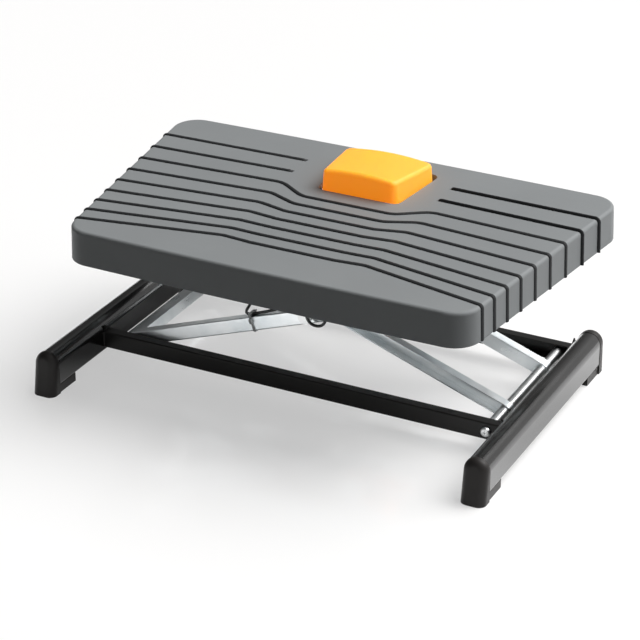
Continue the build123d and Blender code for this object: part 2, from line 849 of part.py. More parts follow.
# Foot plate: shell with ribs, hinge lugs, pedal opening and strip grooves
lug_centre = plate_plane.to_local_coords(Vector(0, knuckle_y, knuckle_z))
lug_start = strap_width / 2 + washer_thickness
pedal_axis_point = (pedal_axis, -pedal_axis_depth)
with BuildPart() as plate:
    add(plate_volume(0, 0, plate_edge))
    add(plate_outline(-plate_wall, -plate_wall))
    extrude(amount=plate_height, taper=-plate_draft, dir=-plate_plane.z_dir, mode=Mode.SUBTRACT)
    front_inside = -plate_depth / 2 - plate_front_bow + plate_wall
    rear_inside = plate_depth / 2 + plate_rear_bow - plate_wall
    for rib_x in [rib_pitch * step for step in (-2, -1, 0, 1, 2)]:
        with BuildSketch(plate_plane.offset(-plate_wall)):
            with Locations((rib_x, front_inside + rib_length / 2)):
                Rectangle(rib_thickness, rib_length)
            if abs(rib_x) > pedal_rear_width / 2:
                with Locations((rib_x, rear_inside - rib_length / 2)):
                    Rectangle(rib_thickness, rib_length)
        extrude(amount=-rib_depth)
    add(pedal_outline(pedal_side_gap + collar_wall, 0, pedal_rear_gap + collar_wall, -plate_wall))
    extrude(amount=collar_depth, dir=-plate_plane.z_dir)
    with BuildSketch(pedal_plane.offset(-plate_wall)):
        with Locations((0, pedal_front)):
            Rectangle(2 * pedal_rear_width, 2 * collar_back)
    extrude(amount=-collar_depth, mode=Mode.SUBTRACT)
    for side in (-1, 1):
        for away in (-1, 1):
            inner_x = side * strap_x + away * lug_start
            with BuildSketch(
                Plane(
                    origin=plate_plane.from_local_coords(Vector(inner_x, 0, 0)),
                    x_dir=plate_plane.y_dir,
                    z_dir=(1, 0, 0),
                )
            ):
                with Locations((lug_centre.Y, lug_centre.Z)):
                    Circle(knuckle_diameter / 2 + 2)
                with Locations((lug_centre.Y, (lug_centre.Z - plate_wall) / 2)):
                    Rectangle(knuckle_diameter + 4, -plate_wall - lug_centre.Z)
                with Locations((lug_centre.Y, lug_centre.Z)):
                    Circle(hinge_bolt / 2 + seat_fit, mode=Mode.SUBTRACT)
            extrude(amount=away * hinge_lug)
    for side in (-1, 1):
        for away in (-1, 1):
            inner_x = side * pedal_arm_x + away * (pedal_arm_width / 2 + end_play)
            with BuildSketch(
                Plane(
                    origin=pedal_plane.from_local_coords(Vector(inner_x, 0, 0)),
                    x_dir=pedal_plane.y_dir,
                    z_dir=(1, 0, 0),
                )
            ):
                with Locations(pedal_axis_point):
                    Circle(pedal_pin)
                with Locations((pedal_axis, (-pedal_axis_depth - plate_wall) / 2)):
                    Rectangle(2 * pedal_pin, pedal_axis_depth - plate_wall)
                with Locations(pedal_axis_point):
                    Circle(pedal_pin / 2 + seat_fit, mode=Mode.SUBTRACT)
            extrude(amount=away * pedal_lug)
    wire_v = pedal_axis - tail_wire
    stop_x = pedal_arm_x + stop_width / 2
    with BuildSketch(pedal_plane.offset(-plate_wall)):
        with Locations((stop_x + stop_wall / 2, wire_v)):
            Rectangle(stop_wall, stop_length)
    extrude(amount=plate_wall - stop_depth)
    with BuildSketch(pedal_plane.offset(-stop_depth)):
        with Locations((pedal_arm_x + stop_wall / 2, wire_v)):
            Rectangle(stop_width + stop_wall, stop_length)
        with Locations((pedal_arm_x, wire_v)):
            Circle(wire_diameter / 2 + end_play, mode=Mode.SUBTRACT)
    extrude(amount=stop_wall)
    add(pedal_outline(pedal_side_gap, pedal_gap, pedal_rear_gap, plate_edge))
    extrude(
        amount=plate_edge + plate_wall + collar_depth + end_play, dir=-plate_plane.z_dir, mode=Mode.SUBTRACT
    )
    add(strips.part, mode=Mode.SUBTRACT)
save(plate.part, "foot_plate")

# Tilt hinge: bolts with heads and nuts, and friction washers beside the knuckles
bolt_half = lug_start + hinge_lug
turned(
    "tilt_bolts",
    [
        (
            (side * (strap_x - bolt_half) - side * bolt_head_height, knuckle_y, knuckle_z),
            (side, 0, 0),
            [
                (bolt_head_height, bolt_head, 0),
                (2 * bolt_half + nut_height + 1, hinge_bolt, 0),
            ],
        )
        for side in (-1, 1)
    ],
)
with BuildPart() as nuts:
    for side in (-1, 1):
        with BuildSketch(
            Plane(origin=(side * (strap_x + bolt_half), knuckle_y, knuckle_z), z_dir=(side, 0, 0))
        ):
            RegularPolygon(bolt_head / 2, 6, major_radius=False)
            Circle(hinge_bolt / 2 + seat_fit, mode=Mode.SUBTRACT)
        extrude(amount=nut_height)
save(nuts.part, "tilt_nuts")
turned(
    "friction_washers",
    [
        (
            (side * strap_x + away * strap_width / 2, knuckle_y, knuckle_z),
            (away, 0, 0),
            [(washer_thickness, washer_diameter, hinge_bolt + 2 * running_fit)],
        )
        for side in (-1, 1)
        for away in (-1, 1)
    ],
)

def pedal_block(inset):
    """Body of the pedal under its crowned top, shrunk all round."""
    with BuildPart() as block:
        add(pedal_outline(-inset, -inset, -inset, -pedal_skirt))
        extrude(amount=pedal_skirt + pedal_height + pedal_crown, taper=pedal_draft, dir=pedal_plane.z_dir)
        sky = Plane(
            origin=pedal_plane.from_local_coords(Vector(0, pedal_front - pedal_corner, -inset)),
            x_dir=(1, 0, 0),
            z_dir=-pedal_plane.y_dir,
        ).rotated((-pedal_slope, 0, 0))
        with BuildSketch(sky):
            with BuildLine():
                edge_x = pedal_rear_width
                edge_top = pedal_height - 3 * pedal_crown
                ThreePointArc((-edge_x, edge_top), (0, pedal_height + pedal_crown), (edge_x, edge_top))
                Polyline(
                    (edge_x, edge_top), (edge_x, 3 * pedal_height), (-edge_x, 3 * pedal_height), (-edge_x, edge_top)
                )
            make_face()
        extrude(amount=-2 * pedal_rear, mode=Mode.SUBTRACT)
    return block


# Pedal: crowned block, hollow below, with two arms that reach forward to its pin
with BuildPart() as pedal:
    add(pedal_block(0).part)
    fillet(pedal.faces().sort_by(Axis.Z)[-1].edges(), pedal_edge)
    add(pedal_block(pedal_wall).part, mode=Mode.SUBTRACT)
    for side in (-1, 1):
        with BuildSketch(
            Plane(
                origin=pedal_plane.from_local_coords(Vector(side * pedal_arm_x, 0, 0)),
                x_dir=pedal_plane.y_dir,
                z_dir=(1, 0, 0),
            )
        ):
            with BuildLine():
                Polyline(
                    (pedal_axis, -pedal_axis_depth - pedal_pin + 0.5),
                    (pedal_front + 3 * pedal_wall, -pedal_axis_depth - pedal_pin + 0.5),
                    (pedal_front + 3 * pedal_wall, pedal_height / 2),
                    (pedal_front + pedal_wall / 2, pedal_height / 2),
                    (pedal_front + pedal_wall / 2, -pedal_axis_depth + pedal_pin - 0.5),
                    (pedal_axis, -pedal_axis_depth + pedal_pin - 0.5),
                    close=True,
                )
            make_face()
            with Locations(pedal_axis_point):
                Circle(pedal_pin - 0.5)
                Circle(pedal_pin / 2 + running_fit, mode=Mode.SUBTRACT)
        extrude(amount=pedal_arm_width / 2, both=True)
    with BuildSketch(pedal_plane.offset(-seat_depth)):
        with Locations((0, spring_y)):
            Circle(spring_seat / 2)
    extrude(amount=pedal_height + seat_depth)
    with BuildSketch(pedal_plane.offset(-seat_depth)):
        with Locations((0, spring_y)):
            Circle(spring_nub / 2)
    extrude(amount=-2 * spring_wire)
    with BuildSketch(
        Plane(
            origin=pedal_plane.from_local_coords(Vector(pedal_arm_x, 0, 0)),
            x_dir=pedal_plane.y_dir,
            z_dir=(1, 0, 0),
        )
    ):
        with Locations((pedal_axis - tail_length / 2, tail_height / 2 - pedal_axis_depth - pedal_pin + 0.5)):
            Rectangle(tail_length, tail_height)
        with Locations(pedal_axis_point):
            Circle(pedal_pin / 2 + 2 * running_fit, mode=Mode.SUBTRACT)
    extrude(amount=pedal_arm_width / 2, both=True)
save(pedal.part, "pedal")
pin_half = pedal_arm_x + pedal_arm_width / 2 + end_play + pedal_lug
pin_start = pedal_plane.from_local_coords(Vector(-pin_half, pedal_axis, -pedal_axis_depth))
turned("pedal_pin", [(pin_start, (1, 0, 0), [(2 * pin_half, pedal_pin, 0)])])

# Bracket under the pedal: a hat-shaped strap screwed to the underside of the plate
bracket_plane = Plane(
    origin=pedal_plane.from_local_coords(Vector(0, spring_y, 0)),
    x_dir=(1, 0, 0),
    z_dir=-pedal_plane.y_dir,
)
bracket_screw_x = bracket_x + bracket_foot / 2 - bracket_thickness / 2
with BuildPart() as bracket:
    with BuildSketch(bracket_plane):
        with Locations((0, -bracket_depth + bracket_thickness / 2)):
            Rectangle(2 * bracket_x, bracket_thickness)
        for side in (-1, 1):
            with Locations((side * (bracket_x - bracket_thickness / 2), -(bracket_depth + plate_wall) / 2)):
                Rectangle(bracket_thickness, bracket_depth - plate_wall)
            with Locations((side * bracket_screw_x, -plate_wall - bracket_thickness / 2)):
                Rectangle(bracket_foot, bracket_thickness)
    extrude(amount=bracket_width / 2, both=True)
save(bracket.part, "pedal_bracket")

# Return spring of the pedal: one wire wound from the bracket to the seat under the pedal
spring_foot = -bracket_depth + bracket_thickness + spring_wire / 2
spring_rise = -seat_depth - spring_wire / 2 - spring_foot
spring_swell = spring_rise / (2 * math.pi) - spring_end_pitch * spring_turns / (2 * math.pi)
spring_steps = 4 * spring_turns


def spring_point(turn):
    """Point of the wire's centre line in plate coordinates and its direction, after a number of turns."""
    angle = 2 * math.pi * turn
    phase = 2 * math.pi * turn / spring_turns
    rise = spring_rise * turn / spring_turns - spring_swell * math.sin(phase)
    slope = (spring_rise - 2 * math.pi * spring_swell * math.cos(phase)) / spring_turns
    radius = spring_diameter / 2
    place = Vector(radius * math.cos(angle), spring_y + radius * math.sin(angle), spring_foot + rise)
    heading = Vector(
        -2 * math.pi * radius * math.sin(angle), 2 * math.pi * radius * math.cos(angle), slope
    ).normalized()
    return place, heading


def biarc_joint(start, start_way, end, end_way):
    """Point where two arcs of equal tangent length meet smoothly."""
    chord = end - start
    both = start_way + end_way
    a = 2 * (1 - start_way.dot(end_way))
    b = 2 * chord.dot(both)
    c = -chord.dot(chord)
    reach = (-b + math.sqrt(b * b - 4 * a * c)) / (2 * a)
    return (start + start_way * reach + end - end_way * reach) * 0.5


to_world = pedal_plane.location
nodes = [spring_point(step / 4) for step in range(spring_steps + 1)]
with BuildPart() as spring:
    with BuildLine() as wire_line:
        for (start, start_way), (end, end_way) in zip(nodes[:-1], nodes[1:]):
            joint = biarc_joint(start, start_way, end, end_way)
            joint_way = (joint - start).normalized() * 2 * (joint - start).normalized().dot(start_way) - start_way
            TangentArc(start, joint, tangent=start_way)
            TangentArc(joint, end, tangent=joint_way)
    with BuildSketch(Plane(origin=nodes[0][0], z_dir=nodes[0][1])):
        Circle(spring_wire / 2)
    sweep(path=wire_line.line)
save(spring.part.moved(to_world), "pedal_spring")
gaps = [
    (spring_point(step / 24)[0] - spring_point(step / 24 + 1 + shift / 24)[0]).length - spring_wire
    for step in range(24 * (spring_turns - 1))
    for shift in (-2, -1, 0, 1, 2)
    if step / 24 + 1 + shift / 24 <= spring_turns
]
print(f"pedal_spring: least gap between turns {min(gaps):.2f} mm, volume {spring.part.volume:.1f} mm3")

# Screws of the bracket
turned(
    "bracket_screws",
    [
        (
            pedal_plane.from_local_coords(
                Vector(side * bracket_screw_x, spring_y, -plate_wall - bracket_thickness)
            ),
            (-pedal_plane.z_dir),
            [(strap_screw_head_height, strap_screw_head, 0)],
        )
        for side in (-1, 1)
    ],
)


def cable(name, points):
    """Write a run of the cable through its points, with the widest bend each corner has room for."""
    corners = [Vector(point) for point in points]
    legs = [after - before for before, after in zip(corners[:-1], corners[1:])]
    rooms = [0.48 * leg.length for leg in legs]
    rooms[0] = 0.95 * legs[0].length
    rooms[-1] = 0.95 * legs[-1].length
    radii = []
    for index in range(len(legs) - 1):
        turn = legs[index].get_angle(legs[index + 1])
        room = min(rooms[index], rooms[index + 1])
        radii.append(room / math.tan(math.radians(turn) / 2))
    with BuildPart() as run:
        with BuildLine() as path:
            FilletPolyline(corners, radius=radii)
        with BuildSketch(Plane(origin=corners[0], z_dir=corners[1] - corners[0])):
            Circle(cable_diameter / 2)
        sweep(path=path.line)
    section = math.pi * cable_diameter**2 / 4
    length = sum(edge.length for edge in path.edges())
    shown = ", ".join(f"{radius:.0f}" for radius in radii)
    print(f"{name}: {length:.0f} mm, radii {shown} mm")
    print(f"{name}: volume over section times length {run.part.volume / section / length:.4f}")
    save(run.part, name)


# Release cable: from the crossbar tab to the tie on the front outer leg, over a slack bend, to the pedal
leg_way = Vector(math.cos(theta), 0, math.sin(theta))
leg_up = Vector(-math.sin(theta), 0, math.cos(theta))
tie_reach = 171.5
tie_y = mid_y - outer_leg_offset + leg_flange / 2
tie_point = Vector(glide_x, tie_y, axis_z) + leg_way * tie_reach
tie_cable = tie_point + leg_up * (leg_height / 2 + cable_diameter / 2)
tab_point = Vector(crossbar_x - crossbar_width / 2, gas_y, cable_z)
clip_drop = 4.2
clip_point = Vector(48, frame_screw_y[0], crossbar_top - clip_drop)
stop_point = pedal_plane.from_local_coords(Vector(pedal_arm_x, wire_v, -stop_depth))
cable(
    "cable_head_run",
    [
        tie_cable,
        tie_cable - leg_way * 12,
        (-77, -33, 95),
        (-74, -12, 110),
        (-64, 6, 138),
        (-36, gas_y, cable_z),
        tab_point,
    ],
)
cable(
    "cable_leg_run",
    [
        tie_cable,
        tie_cable + leg_way * 36,
        (-14, tie_y - 4, 121),
        (8, tie_y - 10, 126),
        (12, tie_y - 11.5, 102),
        (33, tie_y - 11.5, 102),
        (37, tie_y - 11.5, 126),
        (47, tie_y - 11, 154),
        (50, -40, 171),
        (48, -22, clip_point.Z),
        clip_point,
    ],
)
cable(
    "cable_pedal_run",
    [
        stop_point,
        stop_point - plate_plane.z_dir * 33,
        (50, 10, 148),
        (48, 9, clip_point.Z),
        clip_point,
    ],
)

# Inner wire where it leaves the sheath: at the release lever and at the pedal's tail
wire_reach = stop_depth - pedal_axis_depth - pedal_pin + 0.5
turned("pedal_wire", [(stop_point, plate_plane.z_dir, [(wire_reach, wire_diameter, 0)])])
turned(
    "release_wire",
    [(tab_point, (1, 0, 0), [(fork_x - lever_thickness / 2 - tab_point.X, wire_diameter, 0)])],
)

# Cable clip under the front upper channel
clip_size = 8
with BuildPart() as clip:
    with BuildSketch(Plane(origin=clip_point, x_dir=(1, 0, 0), z_dir=(0, -1, 0))):
        with Locations((0, clip_drop - clip_size / 2)):
            RectangleRounded(clip_size, clip_size, 1.5)
        Circle(cable_diameter / 2 + seat_fit, mode=Mode.SUBTRACT)
    extrude(amount=bar_depth / 4, both=True)
save(clip.part, "cable_clip")

# Cable tie round the leg and the cable
tie_plane = Plane(origin=tie_point, x_dir=(0, 1, 0), z_dir=leg_way)
tie_sign = 1 if tie_plane.y_dir.Z > 0 else -1
tie_height = leg_height + cable_diameter
with BuildPart() as tie:
    with BuildSketch(tie_plane):
        with Locations((0, tie_sign * cable_diameter / 2)):
            RectangleRounded(leg_flange + 2 * tie_thickness, tie_height + 2 * tie_thickness, 2)
            Rectangle(leg_flange, tie_height, mode=Mode.SUBTRACT)
        with Locations((-leg_flange / 2 - 2 * tie_thickness, tie_sign * leg_height / 4)):
            Rectangle(2.5 * tie_thickness, 2 * tie_width)
    extrude(amount=tie_width / 2, both=True)
save(tie.part, "cable_tie")
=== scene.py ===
# %% [markdown]
# # A footrest on a scissor frame
# The CAD model gives every solid and every joint. This file dresses it: it adds what a
# drawing leaves plain, such as rounded rubber beads, screw recesses, weld ripples and a cable
# with soft bends, and it gives each solid a finish made of shader nodes. Everything is in metres,
# in the frame of the CAD model: X along the cross bars, Y to the rear, Z up from the floor.

import json
import math

import bmesh
import bpy
from mathutils import Matrix, Vector


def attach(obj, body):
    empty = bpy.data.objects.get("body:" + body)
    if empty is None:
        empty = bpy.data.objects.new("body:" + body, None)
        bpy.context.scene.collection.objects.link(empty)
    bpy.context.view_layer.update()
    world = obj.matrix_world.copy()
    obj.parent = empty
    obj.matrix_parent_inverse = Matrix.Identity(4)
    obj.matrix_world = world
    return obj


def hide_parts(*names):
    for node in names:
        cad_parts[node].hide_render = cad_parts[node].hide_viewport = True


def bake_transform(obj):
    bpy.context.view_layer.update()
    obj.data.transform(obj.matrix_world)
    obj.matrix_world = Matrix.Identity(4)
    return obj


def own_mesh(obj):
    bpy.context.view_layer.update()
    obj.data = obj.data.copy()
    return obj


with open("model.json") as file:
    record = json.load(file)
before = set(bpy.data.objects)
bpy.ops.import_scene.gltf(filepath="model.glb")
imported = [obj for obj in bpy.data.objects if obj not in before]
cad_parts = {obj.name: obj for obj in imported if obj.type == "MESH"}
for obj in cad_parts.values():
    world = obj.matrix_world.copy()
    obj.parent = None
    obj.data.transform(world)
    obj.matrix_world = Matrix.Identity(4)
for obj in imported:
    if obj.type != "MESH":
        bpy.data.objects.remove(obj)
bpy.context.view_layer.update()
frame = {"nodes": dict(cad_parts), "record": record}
solids = frame["nodes"]
mm = 0.001

# %% [markdown]
# ## Camera
# The place and the lens of the camera were worked out from the straight edges of the
# photograph: the rails, the bars and the rim of the foot plate. A matrix built from the three
# camera directions is the safest way to set it, because no rotation order has to be chosen.

# %% Camera
eye = Vector((1.0543, -2.0984, 1.2424))
yaw, pitch, roll = (math.radians(angle) for angle in (26.816, -26.448, 0.12))
forward = Vector((-math.sin(yaw) * math.cos(pitch), math.cos(yaw) * math.cos(pitch), math.sin(pitch)))
level = Vector((math.cos(yaw), math.sin(yaw), 0.0))
overhead = level.cross(forward)
to_right = math.cos(roll) * level + math.sin(roll) * overhead
to_top = math.cos(roll) * overhead - math.sin(roll) * level
camera = bpy.data.objects.new("camera", bpy.data.cameras.new("camera"))
camera.data.sensor_width = 36
camera.data.lens = 129
camera.matrix_world = Matrix.Translation(eye) @ Matrix((to_right, to_top, -forward)).transposed().to_4x4()
bpy.context.scene.collection.objects.link(camera)
bpy.context.scene.camera = camera
print("camera looks along", [round(part, 3) for part in forward])

# %% [markdown]
# ## Shader helpers
# A node tree is a list of boxes and wires. Three short helpers keep the trees below readable:
# one adds a box and sets its sockets, one draws a wire, and one starts a group with named
# inputs and outputs.

# %% Shader helpers
def box_in(tree, kind, values=None, **settings):
    made = tree.nodes.new(kind)
    for name, value in settings.items():
        setattr(made, name, value)
    for name, value in (values or {}).items():
        made.inputs[name].default_value = value
    return made


def wire(tree, source, output, target, target_input):
    tree.links.new(source.outputs[output], target.inputs[target_input])


def new_group(name, kind, inputs, outputs):
    tree = bpy.data.node_groups.new(name, kind)
    for label, socket, value in inputs:
        made = tree.interface.new_socket(label, in_out="INPUT", socket_type=socket)
        if value is not None:
            made.default_value = value
    for label, socket in outputs:
        tree.interface.new_socket(label, in_out="OUTPUT", socket_type=socket)
    return tree, tree.nodes.new("NodeGroupInput"), tree.nodes.new("NodeGroupOutput")


NUMBER, COLOUR, VECTOR = "NodeSocketFloat", "NodeSocketColor", "NodeSocketVector"
SHAPE, FORM, PAINT = "NodeSocketGeometry", "NodeSocketObject", "NodeSocketMaterial"

# %% [markdown]
# ## Moulded grain
# Plastic parts come out of a spark-eroded mould, so they carry a fine pebbled grain, and the
# colour drifts a little from place to place. One group gives the tone, the gloss and the height
# of that grain. It reads Object coordinates, so the grain has its true size on every part.

# %% Moulded grain
grain, given, result = new_group(
    "moulded_grain",
    "ShaderNodeTree",
    [("Colour", COLOUR, (0.5, 0.5, 0.5, 1)), ("Grain Scale", NUMBER, 900.0), ("Drift", NUMBER, 0.05),
     ("Gloss Low", NUMBER, 0.45), ("Gloss High", NUMBER, 0.6)],
    [("Colour", COLOUR), ("Roughness", NUMBER), ("Height", NUMBER)],
)
place = box_in(grain, "ShaderNodeTexCoord")
pebble = box_in(grain, "ShaderNodeTexNoise", {"Detail": 2.0, "Roughness": 0.55})
drift = box_in(grain, "ShaderNodeTexNoise", {"Scale": 7.0, "Detail": 3.0})
lowest = box_in(grain, "ShaderNodeMath", {0: 1.0}, operation="SUBTRACT")
highest = box_in(grain, "ShaderNodeMath", {0: 1.0}, operation="ADD")
factor = box_in(grain, "ShaderNodeMapRange", {"From Min": 0.3, "From Max": 0.7})
tone = box_in(grain, "ShaderNodeVectorMath", operation="SCALE")
gloss = box_in(grain, "ShaderNodeMapRange", {"From Min": 0.3, "From Max": 0.7})
wire(grain, place, "Object", pebble, "Vector")
wire(grain, place, "Object", drift, "Vector")
wire(grain, given, "Grain Scale", pebble, "Scale")
wire(grain, given, "Drift", lowest, 1)
wire(grain, given, "Drift", highest, 1)
wire(grain, drift, 0, factor, "Value")
wire(grain, lowest, 0, factor, "To Min")
wire(grain, highest, 0, factor, "To Max")
wire(grain, given, "Colour", tone, 0)
wire(grain, factor, "Result", tone, "Scale")
wire(grain, drift, 0, gloss, "Value")
wire(grain, given, "Gloss Low", gloss, "To Min")
wire(grain, given, "Gloss High", gloss, "To Max")
wire(grain, tone, 0, result, "Colour")
wire(grain, gloss, "Result", result, "Roughness")
wire(grain, pebble, 0, result, "Height")
print("group:", grain.name, len(grain.nodes), "nodes")

# %% [markdown]
# ## Scuffs
# Shoes leave pale, broken marks on the plate, and hands leave them on the rails. Noise that is
# stretched along one direction and cut at a threshold gives such streaks, and a second, wide
# noise keeps them in patches. The group puts out a mask, so each material chooses its own tint.

# %% Scuffs
scuff, given, result = new_group(
    "scuffs",
    "ShaderNodeTree",
    [("Stretch", VECTOR, (40.0, 400.0, 400.0)), ("Amount", NUMBER, 0.3)],
    [("Mask", NUMBER)],
)
place = box_in(scuff, "ShaderNodeTexCoord")
stretch = box_in(scuff, "ShaderNodeVectorMath", operation="MULTIPLY")
streak = box_in(scuff, "ShaderNodeTexNoise", {"Scale": 1.0, "Detail": 4.0, "Roughness": 0.7})
patch = box_in(scuff, "ShaderNodeTexNoise", {"Scale": 14.0, "Detail": 2.0})
thin = box_in(scuff, "ShaderNodeMapRange", {"From Min": 0.58, "From Max": 0.74})
spread = box_in(scuff, "ShaderNodeMapRange", {"From Min": 0.48, "From Max": 0.66})
both = box_in(scuff, "ShaderNodeMath", operation="MULTIPLY")
scaled = box_in(scuff, "ShaderNodeMath", operation="MULTIPLY")
wire(scuff, place, "Object", stretch, 0)
wire(scuff, given, "Stretch", stretch, 1)
wire(scuff, stretch, 0, streak, "Vector")
wire(scuff, place, "Object", patch, "Vector")
wire(scuff, streak, 0, thin, "Value")
wire(scuff, patch, 0, spread, "Value")
wire(scuff, thin, "Result", both, 0)
wire(scuff, spread, "Result", both, 1)
wire(scuff, both, 0, scaled, 0)
wire(scuff, given, "Amount", scaled, 1)
wire(scuff, scaled, 0, result, "Mask")
print("group:", scuff.name, len(scuff.nodes), "nodes")

# %% [markdown]
# ## Painted glow shell
# Emission paints a glow on the bright orange pedal, so it stays bright also in the shade. Only the
# outside should glow, or the hollow would tint the legs below it. A face points outwards where
# its normal leads away from the middle of the piece, so a dot product gives the mask.

# %% Painted glow shell
shell, given, result = new_group(
    "glowing_shell",
    "ShaderNodeTree",
    [("Colour", COLOUR, (1.0, 0.27, 0.01, 1)), ("Middle", VECTOR, (0.0, 0.0, 0.0))],
    [("Colour", COLOUR)],
)
place = box_in(shell, "ShaderNodeTexCoord")
reach = box_in(shell, "ShaderNodeVectorMath", operation="SUBTRACT")
facing = box_in(shell, "ShaderNodeVectorMath", operation="DOT_PRODUCT")
outside = box_in(shell, "ShaderNodeMapRange", {"From Min": 0.0, "From Max": 0.004})
tint = box_in(shell, "ShaderNodeMix", {6: (0.0, 0.0, 0.0, 1)}, data_type="RGBA")
wire(shell, place, "Object", reach, 0)
wire(shell, given, "Middle", reach, 1)
wire(shell, place, "Normal", facing, 0)
wire(shell, reach, 0, facing, 1)
wire(shell, facing, "Value", outside, "Value")
wire(shell, outside, "Result", tint, 0)
wire(shell, given, "Colour", tint, 7)
wire(shell, tint, 2, result, "Colour")
print("group:", shell.name, len(shell.nodes), "nodes")

# %% [markdown]
# ## Zinc plate
# Zinc-plated sheet is bright, slightly blue, and never even: rolling leaves long streaks, and
# the bath leaves cloudy patches. The streaks need a direction, so the group takes a stretch
# vector, and the clouds mix a second tint into the colour.

# %% Zinc plate
zinc, given, result = new_group(
    "zinc_plate",
    "ShaderNodeTree",
    [("Bright", COLOUR, (0.8, 0.8, 0.8, 1)), ("Cloud", COLOUR, (0.6, 0.65, 0.68, 1)),
     ("Stretch", VECTOR, (8.0, 200.0, 200.0)), ("Gloss Low", NUMBER, 0.2), ("Gloss High", NUMBER, 0.4)],
    [("Colour", COLOUR), ("Roughness", NUMBER), ("Height", NUMBER)],
)
place = box_in(zinc, "ShaderNodeTexCoord")
stretch = box_in(zinc, "ShaderNodeVectorMath", operation="MULTIPLY")
streak = box_in(zinc, "ShaderNodeTexNoise", {"Scale": 1.0, "Detail": 5.0, "Roughness": 0.6})
cloud = box_in(zinc, "ShaderNodeTexNoise", {"Scale": 26.0, "Detail": 3.0})
tint = box_in(zinc, "ShaderNodeMix", data_type="RGBA")
fade = box_in(zinc, "ShaderNodeMapRange", {"From Min": 0.35, "From Max": 0.68})
gloss = box_in(zinc, "ShaderNodeMapRange", {"From Min": 0.3, "From Max": 0.7})
wire(zinc, place, "Object", stretch, 0)
wire(zinc, given, "Stretch", stretch, 1)
wire(zinc, stretch, 0, streak, "Vector")
wire(zinc, place, "Object", cloud, "Vector")
wire(zinc, cloud, 0, fade, "Value")
wire(zinc, fade, "Result", tint, 0)
wire(zinc, given, "Bright", tint, 6)
wire(zinc, given, "Cloud", tint, 7)
wire(zinc, streak, 0, gloss, "Value")
wire(zinc, given, "Gloss Low", gloss, "To Min")
wire(zinc, given, "Gloss High", gloss, "To Max")
wire(zinc, tint, 2, result, "Colour")
wire(zinc, gloss, "Result", result, "Roughness")
wire(zinc, streak, 0, result, "Height")
print("group:", zinc.name, len(zinc.nodes), "nodes")

# %% [markdown]
# ## A finish from a group
# Each material holds its own Principled shader. The group feeds colour, roughness and, through
# a Bump node, the normal. Values that are the same all over the surface, such as metallic or
# coat, are set straight on the shader's sockets, because an export reads them there. Marks are
# the stretch, the amount and the tint of scuffs. Two short functions name a group's inputs.

# %% A finish from a group
finishes = {}


def finish_from(name, group, values, bump, depth, fixed=None, marks=None):
    material = bpy.data.materials.new(name)
    material.use_nodes = True
    tree = material.node_tree
    shader = tree.nodes["Principled BSDF"]
    for socket, value in (fixed or {}).items():
        shader.inputs[socket].default_value = value
    source = box_in(tree, "ShaderNodeGroup", node_tree=group)
    for socket, value in values.items():
        source.inputs[socket].default_value = value
    relief = box_in(tree, "ShaderNodeBump", {"Strength": bump, "Distance": depth})
    wire(tree, source, "Height", relief, "Height")
    wire(tree, relief, "Normal", shader, "Normal")
    wire(tree, source, "Roughness", shader, "Roughness")
    if marks:
        stretch, amount, tint = marks
        worn = box_in(tree, "ShaderNodeGroup", node_tree=scuff)
        worn.inputs["Stretch"].default_value = stretch
        worn.inputs["Amount"].default_value = amount
        over = box_in(tree, "ShaderNodeMix", {7: tint}, data_type="RGBA")
        wire(tree, worn, "Mask", over, 0)
        wire(tree, source, "Colour", over, 6)
        wire(tree, over, 2, shader, "Base Color")
    else:
        wire(tree, source, "Colour", shader, "Base Color")
    finishes[name] = material


def grained(colour, scale, drift, gloss):
    return {"Colour": (*colour, 1), "Grain Scale": scale, "Drift": drift,
            "Gloss Low": gloss[0], "Gloss High": gloss[1]}


def plated(bright, cloud, stretch, gloss):
    return {"Bright": (*bright, 1), "Cloud": (*cloud, 1), "Stretch": stretch,
            "Gloss Low": gloss[0], "Gloss High": gloss[1]}


# %% [markdown]
# ## Plastics and rubber
# The plate is a matte grey moulding with shoe marks across it, and the end caps are coarse black.
# Rubber is duller than any of them, and holds dust. The glides and the tie are pale nylon.

# %% Plastics and rubber
finish_from("plate_plastic", grain, grained((0.232, 0.243, 0.247), 950.0, 0.035, (0.5, 0.58)),
            bump=0.16, depth=0.0004, fixed={"Specular IOR Level": 0.22},
            marks=((30.0, 260.0, 90.0), 0.12, (0.36, 0.37, 0.37, 1)))
finish_from("strip_rubber", grain, grained((0.012, 0.013, 0.014), 1500.0, 0.2, (0.55, 0.75)),
            bump=0.2, depth=0.0003, fixed={"Specular IOR Level": 0.25},
            marks=((200.0, 200.0, 200.0), 0.1, (0.07, 0.07, 0.07, 1)))
finish_from("cap_plastic", grain, grained((0.02, 0.018, 0.017), 800.0, 0.15, (0.36, 0.5)),
            bump=0.22, depth=0.0004, fixed={"Specular IOR Level": 0.2},
            marks=((60.0, 60.0, 300.0), 0.12, (0.09, 0.085, 0.08, 1)))
finish_from("glide_plastic", grain, grained((0.72, 0.7, 0.64), 700.0, 0.05, (0.35, 0.5)),
            bump=0.1, depth=0.0003, fixed={"Subsurface Weight": 0.1, "Subsurface Scale": 0.002})
finish_from("cable_plastic", grain, grained((0.035, 0.036, 0.036), 500.0, 0.2, (0.28, 0.4)),
            bump=0.1, depth=0.0003)
finish_from("tie_plastic", grain, grained((0.86, 0.87, 0.86), 900.0, 0.08, (0.35, 0.5)),
            bump=0.1, depth=0.0003)
print("plastics:", sorted(finishes))
